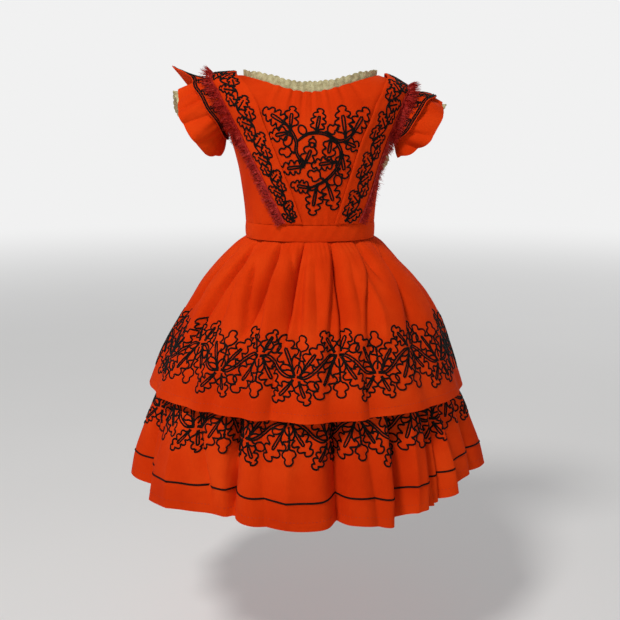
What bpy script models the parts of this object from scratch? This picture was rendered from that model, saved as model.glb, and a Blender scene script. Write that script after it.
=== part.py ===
"""A small child's red wool party dress with a wide neck, short two-tier sleeves and a two-tier pleated skirt.

The dress keeps the hollow form of being worn. X runs from the wearer's right to the wearer's left, the front
faces -Y and +Z is up. The origin lies midway between the two neck points, on top of the shoulders that carry it.
Every piece of cloth is a thin closed wall, worked out as a grid of points on a smooth surface.
"""

import math

import bpy
import numpy as np

# Walls and gaps, in metres.
CLOTH = 0.0015
THIN_CLOTH = 0.0012
LACE = 0.0010
SEAM_GAP = 0.0003
LAYER_STEP = 0.0023  # from one bodice layer's middle to the next one's
SHOULDER_EASE = 0.0026
BRAID_WIDTH = 0.0024
BRAID_HEIGHT = 0.0010

# Bodice. Each row is a ring round the body: share of the way from waist to neckline, half width, depth in front,
# depth behind, then the ring's height at the side, in front and behind.
BODICE_RINGS = (
    (0.00, 0.0868, 0.0745, 0.0700, -0.1912, -0.1905, -0.1912),
    (0.25, 0.0912, 0.0800, 0.0735, -0.1500, -0.1480, -0.1500),
    (0.50, 0.0985, 0.0845, 0.0775, -0.1080, -0.1080, -0.1080),
    (0.66, 0.1075, 0.0850, 0.0800, -0.0800, -0.0820, -0.0780),
    (0.79, 0.1190, 0.0824, 0.0790, -0.0520, -0.0640, -0.0580),
    (0.87, 0.1265, 0.0778, 0.0745, -0.0300, -0.0510, -0.0470),
    (0.92, 0.1250, 0.0735, 0.0695, -0.0165, -0.0420, -0.0385),
    (0.96, 0.1090, 0.0685, 0.0635, -0.0065, -0.0335, -0.0310),
    (1.00, 0.0905, 0.0620, 0.0560, 0.0000, -0.0235, -0.0215),
)
BODY_ROUNDNESS = 2.3  # exponent of the rings' outline, 2 being an ellipse
# How much higher the end of the wearer's right shoulder is held than the left one's, by share.
RIGHT_SHOULDER_LIFT = ((0.50, 0.0), (0.68, 0.005), (0.87, 0.017), (0.92, 0.0145), (0.96, 0.0065), (1.0, 0.0))
ARMHOLE_SHARE = 0.785  # height of the armhole's centre, as a share
ARMHOLE_HALF_SHARE = 0.115
ARMHOLE_HALF_ANGLE = 17.5

# Waistband, from its top to its bottom edge.
WAISTBAND_TOP = -0.1918
WAISTBAND_BOTTOM = -0.2125

# Shoulder bands (bretelles): share of the way from the front waist (0) over the shoulder (1), then angle and
# bodice share of the inner edge, then of the outer edge. The two are worn a little differently.
BRETELLE_FRONT = {
    "left": (
        (0.00, 23.8, 0.012, 49.0, 0.012),
        (0.16, 30.3, 0.216, 57.5, 0.208),
        (0.32, 35.5, 0.410, 63.5, 0.404),
        (0.48, 40.5, 0.600, 68.0, 0.576),
        (0.62, 46.8, 0.770, 70.2, 0.700),
        (0.75, 53.5, 0.880, 70.6, 0.800),
        (0.88, 66.0, 0.950, 76.0, 0.885),
        (1.00, 90.0, 0.985, 90.0, 0.920),
    ),
    "right": (
        (0.00, 7.7, 0.012, 25.5, 0.012),
        (0.16, 15.3, 0.216, 35.8, 0.214),
        (0.32, 22.8, 0.412, 44.7, 0.410),
        (0.48, 30.0, 0.600, 52.7, 0.576),
        (0.62, 37.2, 0.776, 58.8, 0.702),
        (0.75, 45.5, 0.892, 65.0, 0.800),
        (0.88, 62.0, 0.955, 74.0, 0.880),
        (1.00, 90.0, 0.985, 90.0, 0.920),
    ),
}
# The back half, from the shoulder (1) to the back waist (2), with angles from the front.
BRETELLE_BACK = (
    (1.12, 112.0, 0.950, 104.0, 0.885),
    (1.25, 125.0, 0.880, 109.5, 0.800),
    (1.38, 133.0, 0.770, 110.5, 0.700),
    (1.52, 140.0, 0.600, 116.0, 0.576),
    (1.68, 147.0, 0.410, 126.0, 0.404),
    (1.84, 155.0, 0.216, 138.0, 0.208),
    (2.00, 163.0, 0.012, 150.0, 0.012),
)

# Sleeves, by the angle round the armhole: 0 at the top, 90 in front, 180 at the underarm, 270 behind.
# Hem of the lower tier: angle, distance out from the middle of the dress, distance forward, height.
SLEEVE_HEM = {
    "left": (
        (0.0, 0.1765, 0.000, -0.037),
        (40.0, 0.1750, 0.030, -0.050),
        (75.0, 0.1660, 0.045, -0.068),
        (105.0, 0.1550, 0.047, -0.085),
        (130.0, 0.1380, 0.040, -0.099),
        (155.0, 0.1180, 0.028, -0.104),
        (180.0, 0.1205, 0.002, -0.104),
        (212.0, 0.1280, -0.034, -0.100),
        (270.0, 0.1600, -0.047, -0.078),
        (320.0, 0.1750, -0.032, -0.050),
    ),
    "right": (
        (0.0, 0.1745, 0.000, -0.020),
        (40.0, 0.1730, 0.028, -0.044),
        (75.0, 0.1640, 0.044, -0.066),
        (105.0, 0.1520, 0.047, -0.083),
        (140.0, 0.1380, 0.037, -0.101),
        (180.0, 0.1190, 0.002, -0.103),
        (220.0, 0.1380, -0.036, -0.098),
        (270.0, 0.1600, -0.047, -0.076),
        (320.0, 0.1740, -0.032, -0.042),
    ),
}
SLEEVE_SEAM = 0.00135  # how far the lower tier's seam lies from the middle of the bodice's cloth
UNDERARM_ROOM = 0.0037  # the same for the upper tier, which lies between them at the underarm
SLEEVE_BULGE = 0.004
SLEEVE_FLUTES = 7
FLUTE_DEPTH = 0.0022
SLEEVE_COLUMNS = 40
# Upper sleeve tier: angle, share of the lower tier that it covers, how far its hem stands off, and how far the hem
# is turned further out and up. The wearer's right one flares to a point behind the shoulder.
SLEEVE_CAP = {
    "left": (
        (0.0, 0.78, 0.0030, 0.000, 0.000),
        (35.0, 0.52, 0.0040, 0.000, 0.000),
        (70.0, 0.46, 0.0040, 0.000, 0.000),
        (105.0, 0.40, 0.0035, 0.000, 0.000),
        (140.0, 0.25, 0.0020, 0.000, 0.000),
        (180.0, 0.22, 0.0015, 0.000, 0.000),
        (220.0, 0.28, 0.0020, 0.000, 0.000),
        (260.0, 0.48, 0.0035, 0.000, 0.000),
        (320.0, 0.66, 0.0045, 0.002, 0.002),
    ),
    "right": (
        (0.0, 0.62, 0.0030, 0.000, 0.005),
        (25.0, 0.50, 0.0040, 0.000, 0.000),
        (50.0, 0.40, 0.0040, 0.000, 0.000),
        (75.0, 0.38, 0.0040, 0.000, 0.000),
        (105.0, 0.28, 0.0030, 0.000, 0.000),
        (140.0, 0.22, 0.0020, 0.000, 0.000),
        (180.0, 0.22, 0.0015, 0.000, 0.000),
        (220.0, 0.28, 0.0020, 0.000, 0.000),
        (255.0, 0.42, 0.0035, 0.000, 0.002),
        (285.0, 0.60, 0.0045, 0.004, 0.018),
        (310.0, 0.80, 0.0050, 0.010, 0.036),
        (328.0, 0.90, 0.0050, 0.014, 0.044),
        (345.0, 0.82, 0.0040, 0.008, 0.026),
    ),
}
# Lace frill inside the sleeve: angle, how far its edge passes the lower tier's hem as a share of that tier, and how
# far the edge is moved out and up.
SLEEVE_LACE = {
    "left": (
        (0.0, 0.10, 0.000, 0.002),
        (45.0, -0.06, 0.000, 0.000),
        (100.0, -0.08, 0.000, 0.000),
        (180.0, -0.08, 0.000, 0.000),
        (270.0, -0.06, 0.000, 0.000),
        (330.0, 0.10, 0.000, 0.002),
    ),
    "right": (
        (0.0, 0.16, 0.000, 0.003),
        (45.0, -0.06, 0.000, 0.000),
        (100.0, -0.08, 0.000, 0.000),
        (180.0, -0.08, 0.000, 0.000),
        (260.0, -0.06, 0.000, 0.000),
        (335.0, 0.24, 0.000, 0.005),
    ),
}

# Lace edging that hangs from the wearer's left armhole at the underarm: angle, share at its free edge, and how far
# that edge stands off the bodice.
UNDERARM_LACE = (
    (71.0, 0.420, 0.0015),
    (80.0, 0.445, 0.0040),
    (88.0, 0.490, 0.0070),
    (96.0, 0.520, 0.0085),
    (105.0, 0.540, 0.0085),
)
UNDERARM_LACE_TOP = 0.652

# Skirt tiers. Each row is a ring: share of the way down, height, half width, depth in front and behind, sideways
# shift of its middle, then the depth of the folds and how wide their steep and their gentle side are, as shares of
# the space between two folds.
UPPER_TIER = (
    (0.00, -0.2140, 0.0886, 0.0760, 0.0716, 0.0000, 0.0006, 0.07, 0.12),
    (0.06, -0.2210, 0.0990, 0.0868, 0.0823, 0.0000, 0.0035, 0.07, 0.18),
    (0.13, -0.2310, 0.1100, 0.0985, 0.0945, 0.0000, 0.0070, 0.08, 0.25),
    (0.25, -0.2520, 0.1310, 0.1190, 0.1155, 0.0000, 0.0105, 0.09, 0.32),
    (0.38, -0.2760, 0.1525, 0.1390, 0.1365, 0.0012, 0.0125, 0.10, 0.36),
    (0.50, -0.3010, 0.1692, 0.1545, 0.1530, 0.0024, 0.0120, 0.12, 0.38),
    (0.62, -0.3290, 0.1847, 0.1680, 0.1670, 0.0010, 0.0100, 0.15, 0.40),
    (0.80, -0.3730, 0.2055, 0.1862, 0.1862, -0.0030, 0.0075, 0.20, 0.42),
    (1.00, -0.4220, 0.2238, 0.2030, 0.2030, -0.0048, 0.0060, 0.24, 0.42),
)
LOWER_TIER = (
    (0.00, -0.2134, 0.0856, 0.0732, 0.0688, 0.0000, 0.0000, 0.10, 0.30),
    (0.08, -0.2300, 0.0970, 0.0855, 0.0815, 0.0000, 0.0010, 0.10, 0.30),
    (0.22, -0.2600, 0.1180, 0.1065, 0.1030, 0.0000, 0.0020, 0.10, 0.30),
    (0.40, -0.3100, 0.1490, 0.1365, 0.1340, 0.0015, 0.0035, 0.10, 0.32),
    (0.56, -0.3700, 0.1810, 0.1640, 0.1630, -0.0020, 0.0050, 0.10, 0.35),
    (0.68, -0.4200, 0.2065, 0.1850, 0.1850, -0.0034, 0.0080, 0.10, 0.38),
    (0.76, -0.4450, 0.2205, 0.1940, 0.1945, -0.0038, 0.0100, 0.09, 0.40),
    (0.85, -0.4840, 0.2360, 0.2040, 0.2050, -0.0042, 0.0125, 0.08, 0.42),
    (0.93, -0.5200, 0.2488, 0.2100, 0.2110, -0.0040, 0.0150, 0.07, 0.44),
    (1.00, -0.5537, 0.2560, 0.2125, 0.2140, -0.0036, 0.0165, 0.06, 0.45),
)
SKIRT_ROUNDNESS = 1.95
# Folds of each tier: angle at the waist, angle at the hem, relative depth, and which way the fold's gentle side
# faces: 1 towards the wearer's left, -1 towards the right. The pleats turn away from a box pleat in front.
UPPER_FOLDS = (
    (-171.0, -171.0, 0.8, -1),
    (-147.0, -146.0, 0.9, -1),
    (-123.0, -121.0, 0.8, -1),
    (-99.0, -96.0, 1.0, -1),
    (-75.0, -72.0, 0.8, -1),
    (-51.0, -48.0, 1.0, -1),
    (-26.0, -25.0, 1.25, -1),
    (-3.3, -6.0, 1.0, -1),
    (18.6, 9.0, 1.0, 1),
    (45.0, 27.0, 0.9, 1),
    (69.0, 50.0, 0.8, 1),
    (93.0, 78.0, 0.9, 1),
    (117.0, 104.0, 0.8, 1),
    (141.0, 132.0, 0.9, 1),
    (165.0, 160.0, 0.8, 1),
)
LOWER_FOLDS = (
    (-170.0, -170.0, 0.7, -1),
    (-147.0, -147.0, 0.9, -1),
    (-123.0, -123.0, 0.8, -1),
    (-101.0, -101.0, 0.9, -1),
    (-82.0, -81.0, 0.9, -1),
    (-66.0, -65.0, 1.0, -1),
    (-28.0, -29.0, 0.6, -1),
    (6.0, 11.0, 0.5, 1),
    (32.0, 33.0, 0.9, 1),
    (48.0, 48.5, 0.6, 1),
    (58.0, 57.5, 0.9, 1),
    (82.0, 82.0, 0.8, 1),
    (104.0, 104.0, 0.9, 1),
    (128.0, 128.0, 0.8, 1),
    (150.0, 150.0, 0.8, 1),
)
# How much the lower tier is lifted at the hem, by angle.
HEM_LIFT = (
    (-180.0, 0.000),
    (-110.0, 0.004),
    (-85.0, 0.012),
    (-73.0, 0.010),
    (-62.0, 0.001),
    (-50.0, 0.005),
    (-36.0, 0.009),
    (-22.0, 0.005),
    (0.0, 0.002),
    (20.0, 0.003),
    (32.0, -0.003),
    (38.0, 0.006),
    (50.0, 0.010),
    (62.0, 0.024),
    (80.0, 0.026),
    (100.0, 0.018),
    (140.0, 0.002),
    (180.0, 0.000),
)
# Where the columns of points lie between two folds.
UPPER_COLUMNS = (0.0, 0.06, 0.16, 0.35, 0.6, 0.83, 0.94)
LOWER_COLUMNS = (0.0, 0.07, 0.25, 0.6, 0.92)
LOWER_ROWS = (0.0, 0.15, 0.40, 0.62, 0.76, 0.85, 0.93, 1.0)
HEM_BRAID_SHARE = 0.925  # where the single line of braid runs on the lower tier

# Neck lace, standing inside the neckline.
NECK_LACE_BELOW = 0.006
NECK_LACE_ABOVE = (0.0125, 0.0070)  # in front and behind, then at the shoulders
NECK_LACE_INSET = 0.0027
NECK_LACE_SCALLOPS = 16
NECK_LACE_SCALLOP = 0.0012

# Back closing strip, centred on the back.
PLACKET_HALF_ANGLE = 6.0

# Fringe along the shoulder bands' outer edges.
HEADING_WIDTH = 0.0032
HEADING_THICKNESS = 0.0009
LOCKS = 46
LOCK_LENGTH = 0.0125
FRINGE_RAISE = 0.35  # how steeply the locks stand off the sleeve
FRINGE_TOP_RAISE = 1.3  # the same on top of the shoulder

RED_WOOL = ((0.72, 0.055, 0.008), 0.85)
BLACK_BRAID = ((0.006, 0.006, 0.005), 0.6)
CREAM_LACE = ((0.62, 0.57, 0.38), 0.9)
CRIMSON_FRINGE = ((0.34, 0.012, 0.006), 0.6)


def spline(table, where):
    """A smooth curve through a table's rows, whose first column is the position. Returns the other columns."""
    table = np.asarray(table, float)
    knots, values = table[:, 0], table[:, 1:]
    slopes = np.gradient(values, knots, axis=0)
    where = np.clip(np.asarray(where, float), knots[0], knots[-1])
    below = np.clip(np.searchsorted(knots, where, side="right") - 1, 0, len(knots) - 2)
    span = (knots[below + 1] - knots[below])[..., None]
    u = (where - knots[below])[..., None] / span
    return (
        (2 * u**3 - 3 * u**2 + 1) * values[below]
        + (u**3 - 2 * u**2 + u) * span * slopes[below]
        + (3 * u**2 - 2 * u**3) * values[below + 1]
        + (u**3 - u**2) * span * slopes[below + 1]
    )


def ring_radius(angle, side, front, back, roundness):
    """Distance from the axis to a ring's outline, at an angle in degrees from the front."""
    across, along = np.sin(np.radians(angle)), np.cos(np.radians(angle))
    depth = np.where(along > 0, front, back)
    power = np.abs(across / side) ** roundness + np.abs(along / depth) ** roundness
    return power ** (-1 / roundness)


def round_the_axis(angle, radius, height):
    turn = np.radians(angle)
    return np.stack([radius * np.sin(turn), -radius * np.cos(turn), height], axis=-1)


def bodice_points(angle, share):
    """Points on the middle of the bodice's cloth."""
    angle, share = np.broadcast_arrays(np.asarray(angle, float), np.asarray(share, float))
    side, front, back, z_side, z_front, z_back = np.moveaxis(spline(BODICE_RINGS, share), -1, 0)
    facing = np.cos(np.radians(angle))
    height = z_side + (np.where(facing > 0, z_front, z_back) - z_side) * facing**2
    lift = spline(RIGHT_SHOULDER_LIFT, share)[..., 0] * np.clip(-np.sin(np.radians(angle)), 0, 1) ** 6
    return round_the_axis(angle, ring_radius(angle, side, front, back, BODY_ROUNDNESS), height + lift)


def bodice_normals(angle, share):
    """Unit vectors pointing out of the bodice's cloth."""
    step_angle, step_share = 0.5, 0.004
    share = np.clip(share, step_share, 1 - step_share)
    round_it = bodice_points(angle + step_angle, share) - bodice_points(angle - step_angle, share)
    up = bodice_points(angle, share + step_share) - bodice_points(angle, share - step_share)
    normals = np.cross(round_it, up)
    return normals / np.linalg.norm(normals, axis=-1, keepdims=True)


def layer_height(share):
    """How far the middle of a second layer lies from the bodice's. It eases over the curve of the shoulder."""
    return LAYER_STEP + SHOULDER_EASE * np.clip((share - 0.70) / 0.12, 0, 1)


def off_bodice(angle, share, distance):
    return bodice_points(angle, share) + bodice_normals(angle, share) * np.asarray(distance)[..., None]


def grid_normals(points, inside, closed):
    """Unit normals of a grid of points, pointing away from the point named inside."""
    if closed:
        along = np.roll(points, -1, axis=1) - np.roll(points, 1, axis=1)
    else:
        along = np.gradient(points, axis=1)
    normals = np.cross(along, np.gradient(points, axis=0))
    normals /= np.maximum(np.linalg.norm(normals, axis=2, keepdims=True), 1e-12)
    outward = np.sign(np.mean(np.sum(normals * (points - np.asarray(inside)), axis=2)))
    return normals * outward


def material_of(name, look):
    found = bpy.data.materials.get(name)
    if found:
        return found
    colour, roughness = look
    made = bpy.data.materials.new(name)
    made.use_nodes = True
    shader = made.node_tree.nodes["Principled BSDF"]
    shader.inputs["Base Color"].default_value = (*colour, 1.0)
    shader.inputs["Roughness"].default_value = roughness
    shader.inputs["Metallic"].default_value = 0.0
    made.diffuse_color = (*colour, 1.0)
    return made


def add_solid(name, points, faces, look_name, look):
    """One closed solid as a mesh object, its faces turned outwards."""
    mesh = bpy.data.meshes.new(name)
    mesh.from_pydata([tuple(p) for p in points], [], faces)
    corners = np.array([[points[f[0]], points[f[i]], points[f[i + 1]]] for f in faces for i in range(1, len(f) - 1)])
    if np.linalg.det(corners).sum() < 0:
        mesh.flip_normals()
    mesh.shade_smooth()
    mesh.set_sharp_from_angle(angle=math.radians(50))
    mesh.materials.append(material_of(look_name, look))
    solid = bpy.data.objects.new(name, mesh)
    bpy.context.scene.collection.objects.link(solid)
    return solid


def wall_faces(middle, closed):
    """Faces of a wall whose outer grid of points comes first and whose inner grid follows it.

    Each space of the grid is split along its shorter diagonal, the same way on both sides of the cloth.
    """
    rows, columns = middle.shape[:2]
    flat = middle.reshape(-1, 3)
    inner = rows * columns
    last = columns if closed else columns - 1
    faces = []
    for i in range(rows - 1):
        for j in range(last):
            a, b = i * columns + j, i * columns + (j + 1) % columns
            c, d = a + columns, b + columns
            if np.linalg.norm(flat[a] - flat[d]) < np.linalg.norm(flat[b] - flat[c]):
                halves = ((a, b, d), (a, d, c))
            else:
                halves = ((a, b, c), (b, d, c))
            for half in halves:
                faces.append(half)
                faces.append(tuple(inner + k for k in half[::-1]))
    for i in (0, rows - 1):
        for j in range(last):
            a, b = i * columns + j, i * columns + (j + 1) % columns
            rim = (b, a, inner + a, inner + b)
            faces.append(rim if i == 0 else rim[::-1])
    if not closed:
        for j in (0, columns - 1):
            for i in range(rows - 1):
                a, c = i * columns + j, (i + 1) * columns + j
                rim = (a, c, inner + c, inner + a)
                faces.append(rim if j == 0 else rim[::-1])
    return faces


def add_wall(name, middle, normals, thickness, look_name, look, closed=False):
    """A wall of cloth with this grid of points as its middle."""
    points = np.concatenate([middle + normals * thickness / 2, middle - normals * thickness / 2])
    return add_solid(name, points.reshape(-1, 3), wall_faces(middle, closed), look_name, look)


def armhole_edge(share):
    """Angle from the front to the edge of the armhole at each share, or to the side seam where there is no armhole."""
    reach = np.clip(1 - ((share - ARMHOLE_SHARE) / ARMHOLE_HALF_SHARE) ** 2, 0, 1)
    return 90.0 - ARMHOLE_HALF_ANGLE * np.sqrt(reach)


def bodice_rows():
    """Shares of the bodice's rows, close together where the armhole turns."""
    below = np.linspace(0, ARMHOLE_SHARE - ARMHOLE_HALF_SHARE, 6)[:-1]
    beside = ARMHOLE_SHARE - ARMHOLE_HALF_SHARE * np.cos(np.radians(np.linspace(0, 180, 8)))
    above = np.array([0.92, 0.94, 0.965, 1.0])
    return np.concatenate([below, beside, above])


def build_bodice():
    share = bodice_rows()[:, None]
    seam = math.degrees(SEAM_GAP / 2 / 0.1)
    edge = armhole_edge(share) - seam
    half = np.linspace(0, 1, 8)[None, :]
    panels = [("bodice_front", np.linspace(-1, 1, 15)[None, :] * edge)]
    for name, side in (("bodice_back_left", 1), ("bodice_back_right", -1)):
        panels.append((name, side * (180 - seam - half * (edge - seam))))
    for name, angle in panels:
        normals = bodice_normals(angle, share + 0 * angle)
        add_wall(name, bodice_points(angle, share), normals, CLOTH, "red_wool", RED_WOOL)


def build_waistband():
    side, front, back = (BODICE_RINGS[0][i] + 0.0004 for i in (1, 2, 3))
    seam = math.degrees(SEAM_GAP / back)
    angle = np.linspace(-180 + seam, 180 - seam, 41)[None, :]
    height = np.linspace(WAISTBAND_TOP, WAISTBAND_BOTTOM, 3)[:, None]
    angle, height = np.broadcast_arrays(angle, height)
    ring = round_the_axis(angle, ring_radius(angle, side, front, back, BODY_ROUNDNESS), height)
    add_wall("waistband", ring, grid_normals(ring, (0, 0, -0.2), False), CLOTH, "red_wool", RED_WOOL)


def build_placket():
    """The lap that closes the back, from the neckline over the waistband."""
    across = np.linspace(-1, 1, 4)[None, :] * PLACKET_HALF_ANGLE
    share = np.linspace(0.03, 0.985, 11)[:, None]
    across, share = np.broadcast_arrays(across, share)
    lap = off_bodice(180 + across, share, LAYER_STEP + 0 * share)
    tail = lap[:1].copy()
    tail[..., 2] = WAISTBAND_BOTTOM + 0.0012
    strip = np.concatenate([tail, lap])
    add_wall("back_placket", strip, grid_normals(strip, (0, 0, -0.1), False), CLOTH, "red_wool", RED_WOOL)


def bretelle_path(way, word):
    """Angle and share of both edges, for way from 0 at the front waist past 1 at the shoulder to 2 at the back."""
    return spline(BRETELLE_FRONT[word] + BRETELLE_BACK, way)


def bretelle_rows():
    front = np.concatenate([np.linspace(0, 0.62, 8), np.linspace(0.62, 1, 8)[1:]])
    return np.concatenate([front, 2 - front[-2::-1]])


def build_bretelle(word, side):
    across = np.linspace(0, 1, 4)[:, None]
    edges = bretelle_path(bretelle_rows()[None, :] + 0 * across, word)
    angle = side * (edges[..., 0] + (edges[..., 2] - edges[..., 0]) * across)
    share = edges[..., 1] + (edges[..., 3] - edges[..., 1]) * across
    band = off_bodice(angle, share, layer_height(share))
    add_wall("bretelle_" + word, band, bodice_normals(angle, share), CLOTH, "red_wool", RED_WOOL)


def ring_spline(table, around):
    """A smooth closed curve through a table whose first column is an angle."""
    table = np.array(table)
    turns = [table + np.array([turn] + [0.0] * (table.shape[1] - 1)) for turn in (-360, 0, 360)]
    return spline(np.concatenate(turns), around)


def sleeve_points(around, down, side):
    """Points of the lower sleeve tier: around the armhole in degrees, down from 0 at the seam to 1 at the hem."""
    around, down = np.broadcast_arrays(np.asarray(around, float), np.asarray(down, float))
    turn = np.radians(around)
    angle = 90 - (ARMHOLE_HALF_ANGLE - 0.2) * np.sin(turn)
    share = ARMHOLE_SHARE + (ARMHOLE_HALF_SHARE - 0.002) * np.cos(turn)
    room = SLEEVE_SEAM + UNDERARM_ROOM * np.clip(-np.cos(turn), 0, 1)
    start = off_bodice(side * angle, share, room)
    out, forward, height = np.moveaxis(ring_spline(SLEEVE_HEM["left" if side > 0 else "right"], around), -1, 0)
    end = np.stack([side * out, -forward, height], axis=-1)
    away = (end - np.array([side * 0.145, 0.0, -0.058])) * np.array([0.35, 1.0, 1.0])
    away /= np.linalg.norm(away, axis=-1, keepdims=True)
    swell = SLEEVE_BULGE * np.sin(np.pi * np.clip(down, 0, 1))
    flute = FLUTE_DEPTH * np.clip(down, 0, 1.2) ** 2 * np.cos(SLEEVE_FLUTES * turn + 0.4 * side)
    return start + (end - start) * down[..., None] + away * (swell + flute)[..., None]


def build_sleeve(word, side):
    around = np.arange(0, 360, 360 / SLEEVE_COLUMNS)[None, :]
    inside = (side * 0.14, 0, -0.058)
    lower = sleeve_points(around, np.linspace(0.0, 1, 5)[:, None], side)
    normals = grid_normals(lower, inside, True)
    add_wall("sleeve_lower_" + word, lower, normals, THIN_CLOTH, "red_wool", RED_WOOL, closed=True)

    covers, stands, out, up = np.moveaxis(ring_spline(SLEEVE_CAP[word], around), -1, 0)
    down = np.linspace(0.0, 1, 4)[:, None]
    upper = sleeve_points(around, 0.02 + (covers - 0.02) * down, side)
    upper = upper + grid_normals(upper, inside, True) * (THIN_CLOTH + 2 * SEAM_GAP + stands * down)[..., None]
    upper[..., 0] += side * out * down**2
    upper[..., 2] += up * down**2
    normals = grid_normals(upper, inside, True)
    add_wall("sleeve_upper_" + word, upper, normals, THIN_CLOTH, "red_wool", RED_WOOL, closed=True)

    past, out, up = np.moveaxis(ring_spline(SLEEVE_LACE[word], around), -1, 0)
    down = np.array([0, 0.4, 0.7, 1])[:, None]
    frill = sleeve_points(around, 0.72 + (0.28 + past) * down, side)
    frill = frill - grid_normals(frill, inside, True) * 0.0030
    frill[..., 0] += side * out * down**3
    frill[..., 2] += up * down**3
    add_wall("sleeve_lace_" + word, frill, grid_normals(frill, inside, True), LACE, "cream_lace", CREAM_LACE, closed=True)


def build_underarm_lace():
    angle = np.linspace(UNDERARM_LACE[0][0], UNDERARM_LACE[-1][0], 9)[None, :]
    down = np.linspace(0, 1, 4)[:, None]
    edge, stand = np.moveaxis(spline(UNDERARM_LACE, angle), -1, 0)
    share = UNDERARM_LACE_TOP + (edge - UNDERARM_LACE_TOP) * down
    strip = off_bodice(angle + 0 * down, share, CLOTH / 2 + LACE / 2 + SEAM_GAP + stand * down**2)
    add_wall("underarm_lace", strip, grid_normals(strip, (0, 0, -0.1), False), LACE, "cream_lace", CREAM_LACE)


def fold_pattern(folds, columns, share):
    """Angle of every column of points at each share, and each fold's weight there on its two sides."""
    table = np.array(sorted(folds))
    settle = np.clip(share / 0.6, 0, 1)[:, None]
    settle = settle * settle * (3 - 2 * settle)
    lines = table[:, 0] + (table[:, 1] - table[:, 0]) * settle
    following = np.concatenate([lines[:, 1:], lines[:, :1] + 360], axis=1)
    part = np.array(columns)
    angle = lines[..., None] + (following - lines)[..., None] * part
    return angle.reshape(len(share), -1), table[:, 2], table[:, 3], part


def tier_points(rings, folds, columns, share, lift_table=None):
    """Grid of points on the middle of a skirt tier's cloth."""
    share = np.asarray(share, float)
    height, side, front, back, shift, depth, steep, gentle = np.moveaxis(spline(rings, share), -1, 0)
    angle, weight, facing, part = fold_pattern(folds, columns, share)
    next_weight, next_facing = np.roll(weight, -1), np.roll(facing, -1)
    steep, gentle, depth = (v[:, None, None] for v in (steep, gentle, depth))
    after = np.where(facing[:, None] > 0, gentle, steep)
    before = np.where(next_facing[:, None] > 0, steep, gentle)
    dip = weight[:, None] * np.exp(-((part / after) ** 2)) + next_weight[:, None] * np.exp(-(((1 - part) / before) ** 2))
    dip = (depth * dip).reshape(len(share), -1)
    radius = ring_radius(angle, side[:, None], front[:, None], back[:, None], SKIRT_ROUNDNESS) - dip
    points = round_the_axis(angle, radius, np.broadcast_to(height[:, None], angle.shape))
    points[..., 0] += shift[:, None]
    if lift_table:
        turned = (angle + 180) % 360 - 180
        points[..., 2] += spline(lift_table, turned)[..., 0] * share[:, None] ** 2.5
    return points


def build_skirt():
    axis = (0, 0, -0.35)
    upper = tier_points(UPPER_TIER, UPPER_FOLDS, UPPER_COLUMNS, [row[0] for row in UPPER_TIER])
    add_wall("skirt_upper", upper, grid_normals(upper, axis, True), CLOTH, "red_wool", RED_WOOL, closed=True)
    lower = tier_points(LOWER_TIER, LOWER_FOLDS, LOWER_COLUMNS, LOWER_ROWS, HEM_LIFT)
    add_wall("skirt_lower", lower, grid_normals(lower, axis, True), THIN_CLOTH, "red_wool", RED_WOOL, closed=True)


def build_hem_braid():
    """The single line of braid, made from the lower tier's own points and moved out."""
    half = BRAID_WIDTH / 2 / (LOWER_TIER[0][1] - LOWER_TIER[-1][1])
    share = [HEM_BRAID_SHARE - half, HEM_BRAID_SHARE + half]
    ring = tier_points(LOWER_TIER, LOWER_FOLDS, LOWER_COLUMNS, share, HEM_LIFT)
    normals = grid_normals(ring, (0, 0, -0.4), True)
    ring = ring + normals * (THIN_CLOTH / 2 + BRAID_HEIGHT / 2 + 0.0008)
    add_wall("hem_braid", ring, normals, BRAID_HEIGHT, "black_braid", BLACK_BRAID, closed=True)


def build_neck_lace():
    gap = math.degrees(SEAM_GAP / 0.056)
    angle = np.linspace(-180 + gap, 180 - gap, 57)[None, :]
    rise = np.linspace(0, 1, 3)[:, None]
    angle, rise = np.broadcast_arrays(angle, rise)
    neck = bodice_points(angle, np.ones(angle.shape))
    radius = np.linalg.norm(neck[..., :2], axis=2)
    scallop = NECK_LACE_SCALLOP * np.cos(np.radians(NECK_LACE_SCALLOPS * angle))
    facing = np.cos(np.radians(angle)) ** 2
    above = NECK_LACE_ABOVE[1] + (NECK_LACE_ABOVE[0] - NECK_LACE_ABOVE[1]) * facing
    lift = -NECK_LACE_BELOW + (NECK_LACE_BELOW + above) * rise + scallop * rise**2
    frill = neck * ((radius - NECK_LACE_INSET - scallop * rise**3) / radius)[..., None]
    frill[..., 2] = neck[..., 2] + lift
    add_wall("neck_lace", frill, grid_normals(frill, (0, 0, -0.02), False), LACE, "cream_lace", CREAM_LACE)


def fringe_direction(way, word, side):
    """Unit vectors along which the locks of the fringe hang from the band's edge."""
    edges = bretelle_path(way, word)
    angle, share = edges[..., 2], edges[..., 3]
    outward = np.where(way <= 1, 0.5, -0.5)
    across = bodice_points(side * (angle + outward), share) - bodice_points(side * (angle - outward), share)
    across /= np.linalg.norm(across, axis=-1, keepdims=True)
    turn = np.arctan2((90 - angle) / ARMHOLE_HALF_ANGLE, (share - ARMHOLE_SHARE) / ARMHOLE_HALF_SHARE)
    around = np.degrees(turn)
    sleeve = sleeve_points(around, 0.5, side) - sleeve_points(around, 0.0, side)
    sleeve /= np.linalg.norm(sleeve, axis=-1, keepdims=True)
    raised = FRINGE_RAISE + (FRINGE_TOP_RAISE - FRINGE_RAISE) * np.clip(np.cos(turn), 0, 1) ** 3
    on_sleeve = np.clip((share - 0.54) / 0.20, 0, 1)[..., None]
    hang = across * (1 - on_sleeve) + (sleeve + raised[..., None] * bodice_normals(side * angle, share)) * on_sleeve
    hang[..., 2] -= 0.30 * (1 - on_sleeve[..., 0])
    return hang / np.linalg.norm(hang, axis=-1, keepdims=True)


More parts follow.
